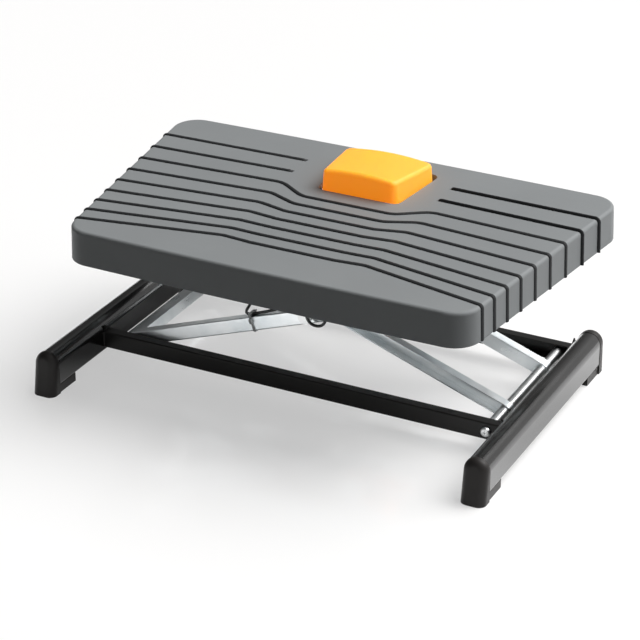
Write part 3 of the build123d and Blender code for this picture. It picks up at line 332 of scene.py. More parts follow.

# %% [markdown]
# ## Pedal
# The pedal is a smoother moulding in bright orange. Light scatters below its surface, which the
# subsurface values give, and the painted glow shell from above colours its emission, a painted glow.

# %% Pedal
pedal_middle = (0.011, 0.1035, 0.197)
scatter = {"Subsurface Weight": 0.9, "Subsurface Scale": 0.03, "Subsurface Radius": (1.0, 0.35, 0.06)}
# Emission Strength paints a glow on the pedal: painted light that brightens it in the shade.
finish_from("pedal_plastic", grain, grained((0.95, 0.43, 0.05), 1100.0, 0.03, (0.36, 0.46)),
            bump=0.08, depth=0.0003,
            fixed={"Specular IOR Level": 0.35, "Emission Strength": 0.62, **scatter},
            marks=((220.0, 50.0, 90.0), 0.08, (0.98, 0.58, 0.2, 1)))
pedal_tree = finishes["pedal_plastic"].node_tree
# Painted glow: the outward faces of the pedal emit the shell's orange.
painted_glow_node = box_in(pedal_tree, "ShaderNodeGroup", {"Middle": pedal_middle}, node_tree=shell)
wire(pedal_tree, painted_glow_node, "Colour", pedal_tree.nodes["Principled BSDF"], "Emission Color")
print("pedal nodes:", len(pedal_tree.nodes))

# %% [markdown]
# ## Powder coat, paint and bare metal
# Powder coat flows like orange peel, so its bump is wide and shallow, and a clear coat on top
# gives the long reflections of the rails. The bars are duller and have no clear coat. The legs
# are bright zinc streaked along X, the pins are faintly streaked along Y, which is their axis,
# and the chromed rod is ground round its own axis.

# %% Powder coat, paint and bare metal
finish_from("black_rails", grain, grained((0.012, 0.0115, 0.011), 260.0, 0.2, (0.16, 0.22)),
            bump=0.04, depth=0.0005,
            fixed={"Specular IOR Level": 0.34, "Coat Weight": 0.3, "Coat Roughness": 0.1},
            marks=((300.0, 12.0, 300.0), 0.08, (0.06, 0.058, 0.055, 1)))
finish_from("black_bars", grain, grained((0.007, 0.0065, 0.006), 320.0, 0.2, (0.32, 0.42)),
            bump=0.06, depth=0.0005, fixed={"Specular IOR Level": 0.3},
            marks=((12.0, 300.0, 300.0), 0.1, (0.05, 0.048, 0.045, 1)))
finish_from("cylinder_paint", grain, grained((0.014, 0.014, 0.015), 300.0, 0.15, (0.24, 0.34)),
            bump=0.05, depth=0.0005, fixed={"Coat Weight": 0.4, "Coat Roughness": 0.15},
            marks=((10.0, 300.0, 300.0), 0.15, (0.12, 0.12, 0.12, 1)))
metal = {"Metallic": 1.0}
finish_from("zinc_legs", zinc,
            plated((0.86, 0.89, 0.90), (0.70, 0.75, 0.77), (9.0, 14.0, 110.0), (0.26, 0.38)),
            bump=0.02, depth=0.0003, fixed=metal)
finish_from("zinc_frame", zinc,
            plated((0.74, 0.77, 0.77), (0.56, 0.61, 0.63), (8.0, 220.0, 220.0), (0.28, 0.46)),
            bump=0.06, depth=0.0003, fixed=metal)
finish_from("steel_pins", zinc,
            plated((0.76, 0.77, 0.77), (0.64, 0.65, 0.65), (40.0, 10.0, 40.0), (0.26, 0.32)),
            bump=0.004, depth=0.0002, fixed=metal)
finish_from("rod_chrome", zinc,
            plated((0.82, 0.82, 0.83), (0.75, 0.76, 0.78), (700.0, 40.0, 40.0), (0.06, 0.13)),
            bump=0.02, depth=0.0001, fixed=metal)
finish_from("head_aluminium", zinc,
            plated((0.66, 0.66, 0.67), (0.52, 0.52, 0.53), (350.0, 350.0, 350.0), (0.38, 0.56)),
            bump=0.15, depth=0.0003, fixed=metal)
print("finishes:", len(finishes))

# %% [markdown]
# ## Dress the solids
# The record names a material slot for every node, so one loop gives each solid its finish. A
# mesh without a slot gets an empty one first.

# %% Dress the solids
for row in frame["record"]["subparts"]:
    part = solids[row["node"]]
    if not part.material_slots:
        part.data.materials.append(None)
    for slot in part.material_slots:
        slot.material = finishes[row["material_slot"]]

# %% [markdown]
# ## Helpers for pieces
# A piece made here ends as a plain mesh at the origin, because the export bakes it there. The
# first two helpers make an object of a curve or of a bmesh. The third keeps only the mesh of an
# object, and the fourth hangs a node tree on it before that and sets the tree's inputs by their
# identifiers. The last two start and end a tree: copies become real faces and get the material.

# %% Helpers for pieces
def line_object(name, runs, kind="POLY"):
    data = bpy.data.curves.new(name, "CURVE")
    data.dimensions = "3D"
    for points in runs:
        spline = data.splines.new(kind)
        spline.points.add(len(points) - 1)
        for knot, (spot, bend) in zip(spline.points, points):
            knot.co = (*spot, 1.0)
            knot.radius = bend
    made = bpy.data.objects.new(name, data)
    bpy.context.scene.collection.objects.link(made)
    return made


def mesh_object(name, shape):
    mesh = bpy.data.meshes.new(name)
    shape.to_mesh(mesh)
    shape.free()
    made = bpy.data.objects.new(name, mesh)
    bpy.context.scene.collection.objects.link(made)
    return made


def plain_mesh(source, name, placing=None, smooth=True):
    bpy.context.view_layer.update()
    graph = bpy.context.evaluated_depsgraph_get()
    mesh = bpy.data.meshes.new_from_object(source.evaluated_get(graph), depsgraph=graph)
    mesh.transform((placing or Matrix.Identity(4)) @ source.matrix_world)
    mesh.polygons.foreach_set("use_smooth", [smooth] * len(mesh.polygons))
    bpy.data.objects.remove(source)
    made = bpy.data.objects.new(name, mesh)
    bpy.context.scene.collection.objects.link(made)
    return made


def grown(source, name, tree, values, placing=None, smooth=True):
    modifier = source.modifiers.new(tree.name, "NODES")
    modifier.node_group = tree
    for item in tree.interface.items_tree:
        if item.in_out == "INPUT" and item.name in values:
            modifier[item.identifier] = values[item.name]
    return plain_mesh(source, name, placing, smooth)


def dressed(piece, body, slot, *replaced):
    if not piece.data.materials:
        piece.data.materials.append(finishes[slot])
    if body:
        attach(piece, body)
    if replaced:
        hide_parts(*replaced)
    piece.data.calc_loop_triangles()
    print(piece.name, len(piece.data.loop_triangles), "triangles")
    return piece


def shape_group(name, inputs):
    every_input = [("Geometry", SHAPE, None), *inputs, ("Material", PAINT, None)]
    return new_group(name, "GeometryNodeTree", every_input, [("Geometry", SHAPE)])


def painted_end(tree, given, result, source, output):
    real = box_in(tree, "GeometryNodeRealizeInstances")
    painted = box_in(tree, "GeometryNodeSetMaterial")
    wire(tree, source, output, real, "Geometry")
    wire(tree, real, "Geometry", painted, "Geometry")
    wire(tree, given, "Material", painted, "Material")
    wire(tree, painted, "Geometry", result, "Geometry")
    print("tree:", tree.name, len(tree.nodes), "nodes")


# %% [markdown]
# ## Release cable
# A thin sheathed cable runs from the pedal, through a clip on the upper frame, over a slack bend
# to a tie on the front leg, and back up to the gas spring. Each run is a NURBS spline led by the
# same points as in the drawing, which gives the soft bends of a real sheath.

# %% Places that hold the cable
sheath = 3.5 * mm
leg_angle, leg_half, axis_z = math.radians(19.5), 8.5 * mm, 25.75 * mm
leg_way = Vector((math.cos(leg_angle), 0, math.sin(leg_angle)))
leg_up = Vector((-math.sin(leg_angle), 0, math.cos(leg_angle)))
glide_spot, tie_reach = Vector((-0.222, -0.056, axis_z)), 171.5 * mm
tie_spot = glide_spot + leg_way * tie_reach
tie_cable = tie_spot + leg_up * (leg_half + sheath / 2)
gas_y, wire_z, clip_z = 14 * mm, 164.979 * mm, 173.779 * mm
tab_spot = Vector((-0.004, gas_y, wire_z))
clip_spot = Vector((0.048, -0.006, clip_z))
plate_middle, plate_tilt = (0, 0.011, 0.2068), math.radians(1)
plate_frame = Matrix.Translation(plate_middle) @ Matrix.Rotation(plate_tilt, 4, "X")
plate_up = plate_frame.to_3x3() @ Vector((0, 0, 1))
stop_on_plate = Vector((0.049, 0.021, -0.026))
stop_spot = plate_frame @ stop_on_plate
for spot in (tie_cable, tab_spot, clip_spot, stop_spot):
    print("cable held at", [round(part, 4) for part in spot])

# %% Routes of the cable
head_bend = Vector((-0.064, 0.006, 0.138))
routes = {
    "cable_head_run": [
        tie_cable, tie_cable - leg_way * 0.012, (-0.077, -0.033, 0.095), (-0.074, -0.012, 0.11),
        head_bend, (-0.036, gas_y, wire_z), tab_spot],
    "cable_leg_run": [
        tie_cable, tie_cable + leg_way * 0.036, (-0.014, -0.06, 0.121), (0.008, -0.066, 0.126),
        (0.012, -0.0675, 0.102), (0.033, -0.0675, 0.102), (0.037, -0.0675, 0.126),
        (0.047, -0.067, 0.154), (0.05, -0.04, 0.171), (0.048, -0.022, clip_z), clip_spot],
    "cable_pedal_run": [
        stop_spot, stop_spot - plate_up * 0.033, (0.05, 0.01, 0.148), (0.048, 0.009, clip_z), clip_spot],
}
slack_start, slack_end = Vector((-0.022, -0.06, 0.117)), Vector((0.05, -0.03, 0.172))
cable_joints = {
    "cable_head_run": ("outer_legs", "upper_frame", tie_cable, head_bend, 0.16),
    "cable_leg_run": ("outer_legs", "upper_frame", slack_start, slack_end, 0.232),
    "cable_pedal_run": ("plate", "upper_frame", stop_spot, clip_spot, 0.082),
}
print("points:", {name: len(points) for name, points in routes.items()})

# %% Release cable
def spline_of(name, points, radius):
    made = line_object(name, [[(point, 1.0) for point in points]], "NURBS")
    spline = made.data.splines[0]
    spline.order_u = 3
    spline.use_endpoint_u = True
    spline.resolution_u = 10
    made.data.bevel_depth = radius
    made.data.bevel_resolution = 4
    made.data.use_fill_caps = True
    return made


def route_points(points):
    thread = plain_mesh(spline_of("thread", points, 0.0), "thread_mesh")
    found = [vertex.co.copy() for vertex in thread.data.vertices]
    bpy.data.objects.remove(thread)
    return found


for name, points in routes.items():
    followed = route_points(points)
    run = plain_mesh(spline_of(name + "_line", points, sheath / 2), name + "_sheath")
    dressed(run, None, "cable_plastic", name)
    start_body, end_body, start, end, length = cable_joints[name]
    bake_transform(run)
    measured = sum((b - a).length for a, b in zip(followed, followed[1:]))
    print(name, "spline:", round(measured, 4), "m")

# %% [markdown]
# ## Inner wire
# Where the sheath stops, the bare wire shows: six thin strands laid round a seventh. A profile
# with six lobes that turns as it follows the line gives the same ridges as strands would, with a
# small part of the faces.

# %% Wire tree
ring_points, lobes, valley = 24, 6, 0.84
rope, given, result = shape_group("laid_wire", [("Radius", NUMBER, 0.00075), ("Lay", NUMBER, 900.0)])
steps = box_in(rope, "GeometryNodeResampleCurve", {"Count": 72})
along = box_in(rope, "GeometryNodeSplineParameter")
turn = box_in(rope, "ShaderNodeMath", operation="MULTIPLY")
tilted = box_in(rope, "GeometryNodeSetCurveTilt")
ring = box_in(rope, "GeometryNodeCurvePrimitiveCircle", {"Resolution": ring_points, "Radius": 1.0})
number = box_in(rope, "GeometryNodeInputIndex")
phase = box_in(rope, "ShaderNodeMath", {1: math.tau * lobes / ring_points}, operation="MULTIPLY")
wave = box_in(rope, "ShaderNodeMath", operation="COSINE")
shallow = box_in(rope, "ShaderNodeMapRange", {"From Min": -1.0, "To Min": valley})
width = box_in(rope, "ShaderNodeMath", operation="MULTIPLY")
spot = box_in(rope, "GeometryNodeInputPosition")
lobed = box_in(rope, "ShaderNodeVectorMath", operation="SCALE")
shaped = box_in(rope, "GeometryNodeSetPosition")
swept = box_in(rope, "GeometryNodeCurveToMesh", {"Fill Caps": True})
wire(rope, given, "Geometry", steps, "Curve")
wire(rope, along, "Length", turn, 0)
wire(rope, given, "Lay", turn, 1)
wire(rope, steps, "Curve", tilted, "Curve")
wire(rope, turn, 0, tilted, "Tilt")
wire(rope, number, 0, phase, 0)
wire(rope, phase, 0, wave, 0)
wire(rope, wave, 0, shallow, "Value")
wire(rope, shallow, "Result", width, 0)
wire(rope, given, "Radius", width, 1)
wire(rope, spot, 0, lobed, 0)
wire(rope, width, 0, lobed, "Scale")
wire(rope, ring, "Curve", shaped, "Geometry")
wire(rope, lobed, 0, shaped, "Position")
wire(rope, tilted, "Curve", swept, "Curve")
wire(rope, shaped, "Geometry", swept, "Profile Curve")
painted_end(rope, given, result, swept, "Mesh")

# %% Inner wire
lever_spot, pedal_wire_length = Vector((0.03, gas_y, wire_z)), 12 * mm
wires = {
    "pedal_wire": (stop_spot, stop_spot + plate_up * pedal_wire_length, "plate", "pedal_block"),
    "release_wire": (tab_spot, lever_spot, "upper_frame", "lever"),
}
wire_look = {"Radius": 0.75 * mm, "Lay": 700.0, "Material": finishes["steel_pins"]}
for name, (start, end, start_body, end_body) in wires.items():
    source = line_object(name + "_line", [[(start, 1.0), (end, 1.0)]])
    strand = grown(source, name + "_strands", rope, wire_look)
    dressed(strand, None, "steel_pins", name)
    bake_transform(strand)

# %% [markdown]
# ## Pedal spring
# The return spring is one wire with closed end turns. Its height over the turns is a straight
# rise less a sine, which packs the turns at both ends and opens them in the middle. A line with
# a round bevel follows that rule.

# %% Pedal spring
spring_x, spring_y, spring_radius = 11 * mm, 98 * mm, 8 * mm
spring_floor, spring_low, spring_high = -30 * mm, -29.1 * mm, -2.9 * mm
spring_turns, spring_wire, end_pitch = 6, 1.8 * mm, 2.3 * mm
turn_steps = 24
spring_steps = spring_turns * turn_steps
spring_rise = spring_high - spring_low
spring_swell = (spring_rise - end_pitch * spring_turns) / math.tau
coil = []
for step in range(spring_steps + 1):
    angle = math.tau * step / turn_steps
    share = step / spring_steps
    x = spring_x + spring_radius * math.cos(angle)
    y = spring_y + spring_radius * math.sin(angle)
    z = spring_low + spring_rise * share - spring_swell * math.sin(math.tau * share)
    coil.append((plate_frame @ Vector((x, y, z)), 1.0))
coil_line = line_object("spring_line", [coil])
coil_line.data.bevel_depth = spring_wire / 2
coil_line.data.bevel_resolution = 3
coil_line.data.use_fill_caps = True
spring = dressed(plain_mesh(coil_line, "pedal_spring_coil"), "plate", "steel_pins", "pedal_spring")
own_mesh(spring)

# %% [markdown]
# ## Grip beads
# Nine rubber beads lie in grooves of the plate. They are drawn in to a waist in front of the
# pedal, run over the rounded rim and go down both sides. Corner points and a bend radius at each
# are all that has to be given: a Fillet Curve node rounds the line, and Curve to Mesh sweeps an
# oval along it. The two rear beads dip into the plate beside the pedal.

# %% Bead tree
bead, given, result = shape_group("grip_bead", [("Half Width", NUMBER, 0.0018), ("Proud", NUMBER, 0.0013)])
bend = box_in(bead, "GeometryNodeInputRadius")
rounded = box_in(bead, "GeometryNodeFilletCurve", {"Count": 9, "Limit Radius": True}, mode="POLY")
even = box_in(bead, "GeometryNodeSetCurveRadius", {"Radius": 1.0})
ring = box_in(bead, "GeometryNodeCurvePrimitiveCircle", {"Resolution": 16, "Radius": 1.0})
oval = box_in(bead, "ShaderNodeCombineXYZ", {"Z": 1.0})
shaped = box_in(bead, "GeometryNodeTransform")
swept = box_in(bead, "GeometryNodeCurveToMesh", {"Fill Caps": True})
wire(bead, given, "Geometry", rounded, "Curve")
wire(bead, bend, 0, rounded, "Radius")
wire(bead, rounded, "Curve", even, "Curve")
wire(bead, given, "Half Width", oval, "X")
wire(bead, given, "Proud", oval, "Y")
wire(bead, ring, "Curve", shaped, "Geometry")
wire(bead, oval, 0, shaped, "Scale")
wire(bead, even, "Curve", swept, "Curve")
wire(bead, shaped, "Geometry", swept, "Profile Curve")
painted_end(bead, given, result, swept, "Mesh")

# %% Sizes of the beads, in mm
front_half, rear_half, depth_half = 242.5, 287.0, 172.0
rim_radius, skirt_depth, skirt_draft, skirt_overrun = 4.0, 40.0, math.tan(math.radians(2)), 0.3
bead_count, split_beads, bead_half, bead_proud = 9, 2, 2.75, 1.6
pattern_x, pedal_clear, dip_depth, dip_radius = 11.0, 92.0, 3.2, 2.5
end_x, end_levels = 255, (110.5, 38, 1.8)
shoulder_levels = (113.5, 35.3, 2.1)
waist_first, waist_pitch = 20.7, 22.35
first_bend_x, bend_shift, bend_half, bend_radius = 75.5, 1.15, 18.0, 30.0
print("beads:", bead_count, "of them split by the pedal:", split_beads)

# %% Bead lines
def side_x(v):
    return front_half + (rear_half - front_half) * (v + depth_half) / (2 * depth_half)


def bead_level(index, first, pitch, growth):
    return first - pitch * index + growth * index * (index - 1) / 2


def bead_corners(index, side):
    end_v = bead_level(index, *end_levels)
    shoulder_v = bead_level(index, *shoulder_levels)
    bend_x = first_bend_x - bend_shift * (index - split_beads)
    shoulder_x = pattern_x + side * (bend_x + bend_half)
    slope = (end_v - shoulder_v) / (side * end_x - shoulder_x)
    taper = 1 - side * slope * (rear_half - front_half) / (2 * depth_half)
    rim_x = side * side_x(shoulder_v - slope * shoulder_x) / taper
    rim_v = shoulder_v + slope * (rim_x - shoulder_x)
    out = side * skirt_draft * skirt_depth / taper
    skirt_end = (rim_x + out, rim_v + slope * out, -skirt_depth - skirt_overrun)
    rim = [((rim_x, rim_v, 0), rim_radius), (skirt_end, 0)]
    if index < split_beads:
        dip_x = pattern_x / 2 + side * (pedal_clear + bead_half)
        dip_v = shoulder_v + slope * (dip_x - shoulder_x)
        inner = [((dip_x, dip_v, -dip_depth), 0), ((dip_x, dip_v, 0), dip_radius)]
    else:
        waist_x = pattern_x + side * (bend_x - bend_half)
        waist_v = waist_first - waist_pitch * (index - split_beads)
        inner = [((waist_x, waist_v, 0), bend_radius), ((shoulder_x, shoulder_v, 0), bend_radius)]
    return [(Vector(spot) * mm, bend * mm) for spot, bend in inner + rim]


bead_runs = []
for index in range(bead_count):
    left, right = bead_corners(index, -1)[::-1], bead_corners(index, 1)
    bead_runs += [left, right] if index < split_beads else [left + right]
bead_look = {"Half Width": bead_half * mm, "Proud": bead_proud * mm, "Material": finishes["strip_rubber"]}
beads = grown(line_object("bead_lines", bead_runs), "grip_beads", bead, bead_look, plate_frame)
dressed(beads, "plate", "strip_rubber", "grip_strips")

# %% [markdown]
# ## Fasteners
# The drawing has screws as plain steps. Here each kind is made once, as a turned form with a cut
# recess or as a six-sided one, and a node tree sets copies of it on points. Every point carries
# the direction that its head faces as an attribute, so one tree serves all the screws.

# %% Fastener forms
def turned_form(name, outline, sides=32):
    shape = bmesh.new()
    around = [(math.cos(math.tau * k / sides), math.sin(math.tau * k / sides)) for k in range(sides)]
    rings = []
    for radius, height in outline:
        spots = around if radius else [(0, 0)]
        rings.append([shape.verts.new((radius * mm * x, radius * mm * y, height * mm)) for x, y in spots])
    for lower, upper in zip(rings, rings[1:]):
        for k in range(sides):
            after = (k + 1) % sides
            places = ((lower, k), (lower, after), (upper, after), (upper, k))
            corners = [ring[place % len(ring)] for ring, place in places]
            shape.faces.new(list(dict.fromkeys(corners)))
    bmesh.ops.recalc_face_normals(shape, faces=shape.faces)
    return mesh_object(name, shape)


recess_width, recess_taper = 0.9 * mm, 0.6


def with_recess(form, top, reach, depth):
    shape = bmesh.new()
    blade_size = Matrix.Diagonal((2 * reach * mm, recess_width, 2 * depth * mm, 1))
    for turn in (0, math.pi / 2):
        place = Matrix.Rotation(turn, 4, "Z") @ Matrix.Translation((0, 0, top * mm))
        blade = bmesh.ops.create_cube(shape, size=1.0, matrix=place @ blade_size)
        for vertex in blade["verts"]:
            if vertex.co.z < top * mm:
                vertex.co.x *= recess_taper
                vertex.co.y *= recess_taper
    cutter = mesh_object("recess", shape)
    cut = form.modifiers.new("recess", "BOOLEAN")
    cut.object = cutter
    cut.operation = "DIFFERENCE"
    cut.solver = "EXACT"
    cut.use_self = True
    made = plain_mesh(form, form.name + "_cut", smooth=False)
    bpy.data.objects.remove(cutter)
    return made


# %% Screws and bolts, in mm
pan_head = [(0, 4.5), (2.6, 4.45), (4.3, 3.95), (5.4, 2.95), (5.95, 1.6), (6, 0.35), (5.8, 0)]
pan_shank = [(3, 0), (3, -17.6), (2.5, -18.3), (0, -18.3)]
low_head = [(0, 1.2), (2.9, 1.15), (4.0, 0.8), (4.45, 0.3), (4.5, 0)]
low_shank = [(2.5, 0), (2.5, -4.6), (2.1, -5), (0, -5)]
hex_head = [(0, 5), (5.2, 5), (6.4, 4.35), (6.4, 0.5), (6.1, 0)]
bolt_radius, tip_radius, tip_length = 4, 3.3, 0.8


def hex_form(name, length):
    shank = [(bolt_radius, 0), (bolt_radius, -length + tip_length), (tip_radius, -length), (0, -length)]
    return turned_form(name, hex_head + shank, sides=6)


pan_screw = with_recess(turned_form("pan_screw", pan_head + pan_shank), top=4.5, reach=2.9, depth=1.9)
low_screw = with_recess(turned_form("low_screw", low_head + low_shank), top=1.2, reach=2.4, depth=0.8)
cap_screw = with_recess(turned_form("cap_screw", low_head + [(0, 0)]), top=1.2, reach=2.4, depth=0.8)
leg_bolt, hinge_bolt = hex_form("leg_bolt", length=27.1), hex_form("hinge_bolt", length=64.5)
forms = (pan_screw, low_screw, cap_screw, leg_bolt, hinge_bolt)
print("forms:", [form.name for form in forms])

# %% Fastener tree
setting, given, result = shape_group("set_fasteners", [("Form", FORM, None), ("Size", NUMBER, 1.0)])
points = box_in(setting, "GeometryNodeMeshToPoints")
form = box_in(setting, "GeometryNodeObjectInfo")
aim = box_in(setting, "GeometryNodeInputNamedAttribute", {"Name": "aim"}, data_type="FLOAT_VECTOR")
facing = box_in(setting, "FunctionNodeAlignRotationToVector", axis="Z")
copies = box_in(setting, "GeometryNodeInstanceOnPoints")
wire(setting, given, "Geometry", points, "Mesh")
wire(setting, given, "Form", form, "Object")
wire(setting, aim, "Attribute", facing, "Vector")
wire(setting, points, "Points", copies, "Points")
wire(setting, form, "Geometry", copies, "Instance")
wire(setting, facing, "Rotation", copies, "Rotation")
wire(setting, given, "Size", copies, "Scale")
painted_end(setting, given, result, copies, "Instances")


def set_screws(name, form, spots, body, replaced):
    mesh = bpy.data.meshes.new(name + "_points")
    mesh.from_pydata([spot for spot, _ in spots], [], [])
    aims = mesh.attributes.new("aim", "FLOAT_VECTOR", "POINT")
    aims.data.foreach_set("vector", [part for _, way in spots for part in way])
    source = bpy.data.objects.new(name + "_points", mesh)
    bpy.context.scene.collection.objects.link(source)
    values = {"Form": form, "Size": 1.0, "Material": finishes["steel_pins"]}
    made = grown(source, name, setting, values, smooth=False)
    dressed(made, body, "steel_pins", replaced)


def front_and_rear(x, z, front_y, rear_y):
    return [((x, front_y, z), (0, -1, 0)), ((x, rear_y, z), (0, 1, 0))]


# %% Set the fasteners
pivot_x, upper_z = 0.234, 0.187228
bar_faces, leg_faces, screw_rows = (-0.076, 0.146), (-0.0623, 0.1323), (-0.006, 0.076)
strap_x, strap_top, crossbar_x, crossbar_low = 0.19, 0.199478, 0.01, 0.174978
bracket_reach, bracket_seat = 70 * mm, -6 * mm
hinge_half, hinge_y, hinge_z = 0.0285, -0.076, 0.192478
pivot_spots = front_and_rear(pivot_x, axis_z, *bar_faces)
upper_spots = front_and_rear(pivot_x, upper_z, *leg_faces)
strap_spots = [((side * strap_x, y, strap_top), (0, 0, 1)) for side in (-1, 1) for y in screw_rows]
crossbar_spots = [((crossbar_x, y, crossbar_low), (0, 0, -1)) for y in screw_rows]
bracket_spots = [
    (plate_frame @ Vector((spring_x + side * bracket_reach, spring_y, bracket_seat)), -plate_up)
    for side in (-1, 1)]
hinge_spots = [((side * (strap_x - hinge_half), hinge_y, hinge_z), (-side, 0, 0)) for side in (-1, 1)]
set_screws("pivot_pan_screws", pan_screw, pivot_spots, "base", "pivot_screws")
set_screws("strap_low_screws", low_screw, strap_spots, "upper_frame", "strap_screws")
set_screws("crossbar_low_screws", low_screw, crossbar_spots, "upper_frame", "crossbar_screws")
set_screws("bracket_cap_screws", cap_screw, bracket_spots, "plate", "bracket_screws")
set_screws("upper_hex_bolts", leg_bolt, upper_spots, "upper_frame", "upper_pivot_bolts")
set_screws("tilt_hex_bolts", hinge_bolt, hinge_spots, "plate", "tilt_bolts")
for form in forms:
    bpy.data.objects.remove(form)

# %% [markdown]
# ## Weld ripples
# The bars are welded to the rails, and the lower tube to the inner legs. A weld is a row of
# overlapping drops along a seam, so a tree resamples the seam at the drop pitch and sets a ball
# of slightly uneven size on each point.

# %% Weld tree
least_drop, largest_drop = 0.85, 1.1
weld, given, result = shape_group("weld_ripples", [("Pitch", NUMBER, 0.0011), ("Size", NUMBER, 0.0016)])
seam = box_in(weld, "GeometryNodeResampleCurve", mode="LENGTH")
drop = box_in(weld, "GeometryNodeMeshUVSphere", {"Segments": 10, "Rings": 6, "Radius": 1.0})
way = box_in(weld, "GeometryNodeInputTangent")
facing = box_in(weld, "FunctionNodeAlignRotationToVector", axis="X")
sizes = {2: least_drop, 3: largest_drop, "Seed": 7}
uneven = box_in(weld, "FunctionNodeRandomValue", sizes, data_type="FLOAT")
size = box_in(weld, "ShaderNodeMath", operation="MULTIPLY")
copies = box_in(weld, "GeometryNodeInstanceOnPoints")
wire(weld, given, "Geometry", seam, "Curve")
wire(weld, given, "Pitch", seam, "Length")
wire(weld, way, "Tangent", facing, "Vector")
wire(weld, given, "Size", size, 0)
wire(weld, uneven, 1, size, 1)
wire(weld, seam, "Curve", copies, "Points")
wire(weld, drop, "Mesh", copies, "Instance")
wire(weld, facing, "Rotation", copies, "Rotation")
wire(weld, size, 0, copies, "Scale")
painted_end(weld, given, result, copies, "Instances")

# %% Weld the seams
pitch_share = 0.7


def ring_run(centre, radius, sides=28):
    run = []
    for k in range(sides + 1):
        angle = math.tau * k / sides
        spot = Vector(centre) + Vector((radius * math.cos(angle), 0, radius * math.sin(angle)))
        run.append((spot, 1.0))
    return run


def weld_seams(name, runs, size, body, slot):
    values = {"Pitch": pitch_share * size, "Size": size, "Material": finishes[slot]}
    made = grown(line_object(name + "_seams", runs), name, weld, values)
    dressed(made, body, slot)


bar_end, bar_rows, bar_heights = 0.2514, (-0.0755, 0.1455), (0.0175, 0.0345)
tube_radius, tube_ends = 6.6 * mm, (-0.0143, 0.0843)
bar_drop, tube_drop = 1.1 * mm, 0.9 * mm
bar_runs = [
    [(Vector((side * bar_end, y, z)), 1.0) for z in bar_heights]
    for side in (-1, 1) for y in bar_rows]
tube_runs = [ring_run((pivot_x, y, axis_z), tube_radius) for y in tube_ends]
weld_seams("bar_welds", bar_runs, bar_drop, "base", "black_bars")
weld_seams("tube_welds", tube_runs, tube_drop, "inner_legs", "zinc_legs")

# %% [markdown]
# ## Tie tail
# The cable tie is a flat nylon band. Its free end sticks out past the lock, bent by the pull of
# the tool. The bead tree can sweep it: a wide, thin oval along four points, given from the top of
# the leg in mm.

# %% Tie tail
tie_top = tie_spot + leg_up * leg_half
tail_corners = [((0, -8.5, -3), 0), ((0.6, -8.3, 3.5), 3), ((4.5, -7.2, 9.5), 3), ((8.5, -6, 11.2), 0)]
tail_line = [(tie_top + Vector(spot) * mm, bend * mm) for spot, bend in tail_corners]
tail_look = {"Half Width": 1.3 * mm, "Proud": 0.55 * mm, "Material": finishes["tie_plastic"]}
tail = grown(line_object("tail_line", [tail_line]), "tie_tail", bead, tail_look)
dressed(tail, "outer_legs", "tie_plastic")

# %% [markdown]
# ## Floor
# The object stands on a white sheet. The camera should see it white, with a pale shadow, so it
# glows for camera rays and has a faint polish for them. Shiny surfaces see it bright in the open,
# and a painted shadow, an oval round the middle, dims that glow under the plate: that keeps the
# left rail dark and the legs bright. And the sheet must not throw much light on the front of the
# plate. So its colour and glow follow the kind of ray.

# %% Floor
floor_half, floor_drop = 6.0, 0.2 * mm
floor_shape = bmesh.new()
bmesh.ops.create_grid(floor_shape, x_segments=2, y_segments=2, size=floor_half,
                      matrix=Matrix.Translation((0, 0, -floor_drop)))
floor = mesh_object("floor", floor_shape)
print("floor side:", round(floor.dimensions.x, 1), "m")

# %% Paper of the floor
paper = bpy.data.materials.new("floor_paper")
paper.use_nodes = True
tree = paper.node_tree
tree.nodes.clear()
dim_paper, bright_paper, seen_paper = (0.16, 0.16, 0.16, 1), (0.92, 0.92, 0.92, 1), (0.5, 0.495, 0.49, 1)
seen_glow, seen_polish, polish_blur = 0.56, 0.1, 0.12
# shade_scale, shade_shift and shade_edge draw a painted shadow: an oval round the middle of the floor.
shade_scale, shade_shift = (3.0, 4.2, 0.0), (0.0, -0.12, 0.0)
shade_edge = {"From Min": 0.8, "From Max": 1.08, "To Min": 0.1, "To Max": 0.68}
ray = box_in(tree, "ShaderNodeLightPath")
direct = box_in(tree, "ShaderNodeMath", operation="MAXIMUM")
mirrored = box_in(tree, "ShaderNodeMix", {6: dim_paper, 7: bright_paper}, data_type="RGBA")
seen = box_in(tree, "ShaderNodeMix", {7: seen_paper}, data_type="RGBA")
spot = box_in(tree, "ShaderNodeTexCoord")
shrunk = box_in(tree, "ShaderNodeVectorMath", {1: shade_scale, 2: shade_shift}, operation="MULTIPLY_ADD")
away = box_in(tree, "ShaderNodeVectorMath", operation="LENGTH")
# Painted shadow mask: the glow shiny surfaces see is 0.1 under the plate and 0.68 in the open.
clear = box_in(tree, "ShaderNodeMapRange", shade_edge)
mirror_glow_painted_shade = box_in(tree, "ShaderNodeMath", operation="MULTIPLY")
glow = box_in(tree, "ShaderNodeMath", {1: seen_glow}, operation="MULTIPLY_ADD")
polish = box_in(tree, "ShaderNodeMath", {1: seen_polish}, operation="MULTIPLY")
sheet = box_in(tree, "ShaderNodeBsdfDiffuse")
light = box_in(tree, "ShaderNodeEmission", {"Color": (1, 1, 1, 1)})
white = box_in(tree, "ShaderNodeAddShader")
mirror = box_in(tree, "ShaderNodeBsdfGlossy", {"Color": (1, 1, 1, 1), "Roughness": polish_blur})
shine = box_in(tree, "ShaderNodeMixShader")
out = box_in(tree, "ShaderNodeOutputMaterial")
wire(tree, ray, "Is Camera Ray", direct, 0)
wire(tree, ray, "Is Transmission Ray", direct, 1)
wire(tree, ray, "Is Glossy Ray", mirrored, 0)
wire(tree, direct, 0, seen, 0)
wire(tree, spot, "Object", shrunk, 0)
wire(tree, shrunk, 0, away, 0)
wire(tree, away, "Value", clear, "Value")
wire(tree, ray, "Is Glossy Ray", mirror_glow_painted_shade, 0)
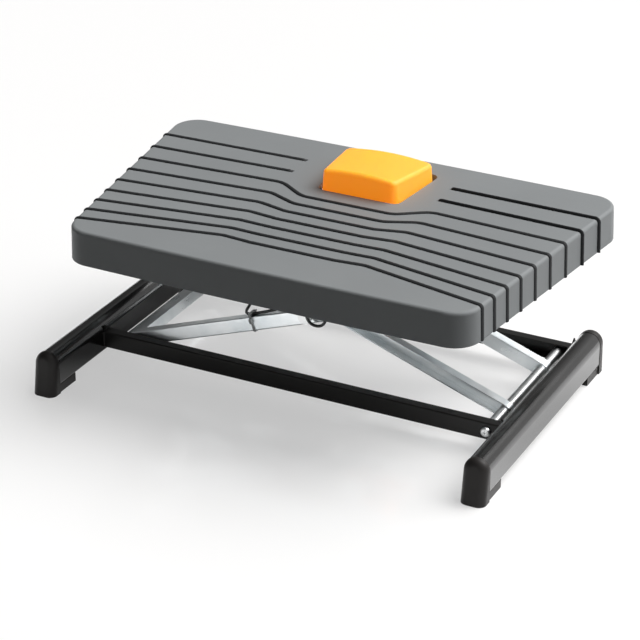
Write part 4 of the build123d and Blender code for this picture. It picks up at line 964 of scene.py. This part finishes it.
wire(tree, clear, "Result", mirror_glow_painted_shade, 1)
wire(tree, direct, 0, glow, 0)
wire(tree, mirror_glow_painted_shade, 0, glow, 2)
wire(tree, direct, 0, polish, 0)
wire(tree, mirrored, 2, seen, 6)
wire(tree, seen, 2, sheet, "Color")
wire(tree, glow, 0, light, "Strength")
wire(tree, sheet, 0, white, 0)
wire(tree, light, 0, white, 1)
wire(tree, polish, 0, shine, 0)
wire(tree, white, 0, shine, 1)
wire(tree, mirror, 0, shine, 2)
wire(tree, shine, 0, out, "Surface")
floor.data.materials.append(paper)
print("paper nodes:", len(tree.nodes))

# %% [markdown]
# ## Light
# A wide, far lamp shines from the upper right and from behind: it lights the top of the plate
# evenly, leaves the front in shade and draws the shadow forward to the left. A small near lamp on
# the right lifts the right side. The world gives little light. The camera sees it white, and
# shiny surfaces see a studio that is white on the right and falls off to the left.

# %% Lamps
def lamp_object(name, kind, spot, way):
    lamp = bpy.data.objects.new(name, bpy.data.lights.new(name, kind))
    lamp.location = spot
    lamp.rotation_mode = "QUATERNION"
    lamp.rotation_quaternion = Vector(way).to_track_quat("-Z", "Y")
    bpy.context.scene.collection.objects.link(lamp)
    return lamp.data


far = lamp_object("far_lamp", "SUN", (0, 0, 2), (-0.4, -0.42, -0.8))
far.energy, far.angle = 3.7, math.radians(50)
near = lamp_object("near_lamp", "AREA", (0.85, 0.25, 0.75), (-0.8, -0.25, -0.6))
near.shape, near.size, near.energy = "DISK", 0.55, 2.0

# %% World
studio_edge = {"From Min": -0.45, "From Max": 0.3, "To Min": 0.15, "To Max": 1.0}
fill_light, seen_light = 0.09, 1.0
world = bpy.data.worlds.new("studio")
bpy.context.scene.world = world
world.use_nodes = True
tree = world.node_tree
tree.nodes.clear()
ray = box_in(tree, "ShaderNodeLightPath")
way = box_in(tree, "ShaderNodeTexCoord")
parts = box_in(tree, "ShaderNodeSeparateXYZ")
studio = box_in(tree, "ShaderNodeMapRange", studio_edge)
mirrored = box_in(tree, "ShaderNodeMix", {2: fill_light}, data_type="FLOAT")
direct = box_in(tree, "ShaderNodeMath", operation="MAXIMUM")
seen = box_in(tree, "ShaderNodeMix", {3: seen_light}, data_type="FLOAT")
sky = box_in(tree, "ShaderNodeBackground", {"Color": (1, 1, 1, 1)})
out = box_in(tree, "ShaderNodeOutputWorld")
wire(tree, way, "Generated", parts, 0)
wire(tree, parts, "X", studio, "Value")
wire(tree, ray, "Is Glossy Ray", mirrored, 0)
wire(tree, studio, "Result", mirrored, 3)
wire(tree, ray, "Is Camera Ray", direct, 0)
wire(tree, ray, "Is Transmission Ray", direct, 1)
wire(tree, direct, 0, seen, 0)
wire(tree, mirrored, 0, seen, 2)
wire(tree, seen, 0, sky, "Strength")
wire(tree, sky, 0, out, "Surface")
bpy.context.scene.view_settings.view_transform = "Standard"
print("world nodes:", len(tree.nodes))
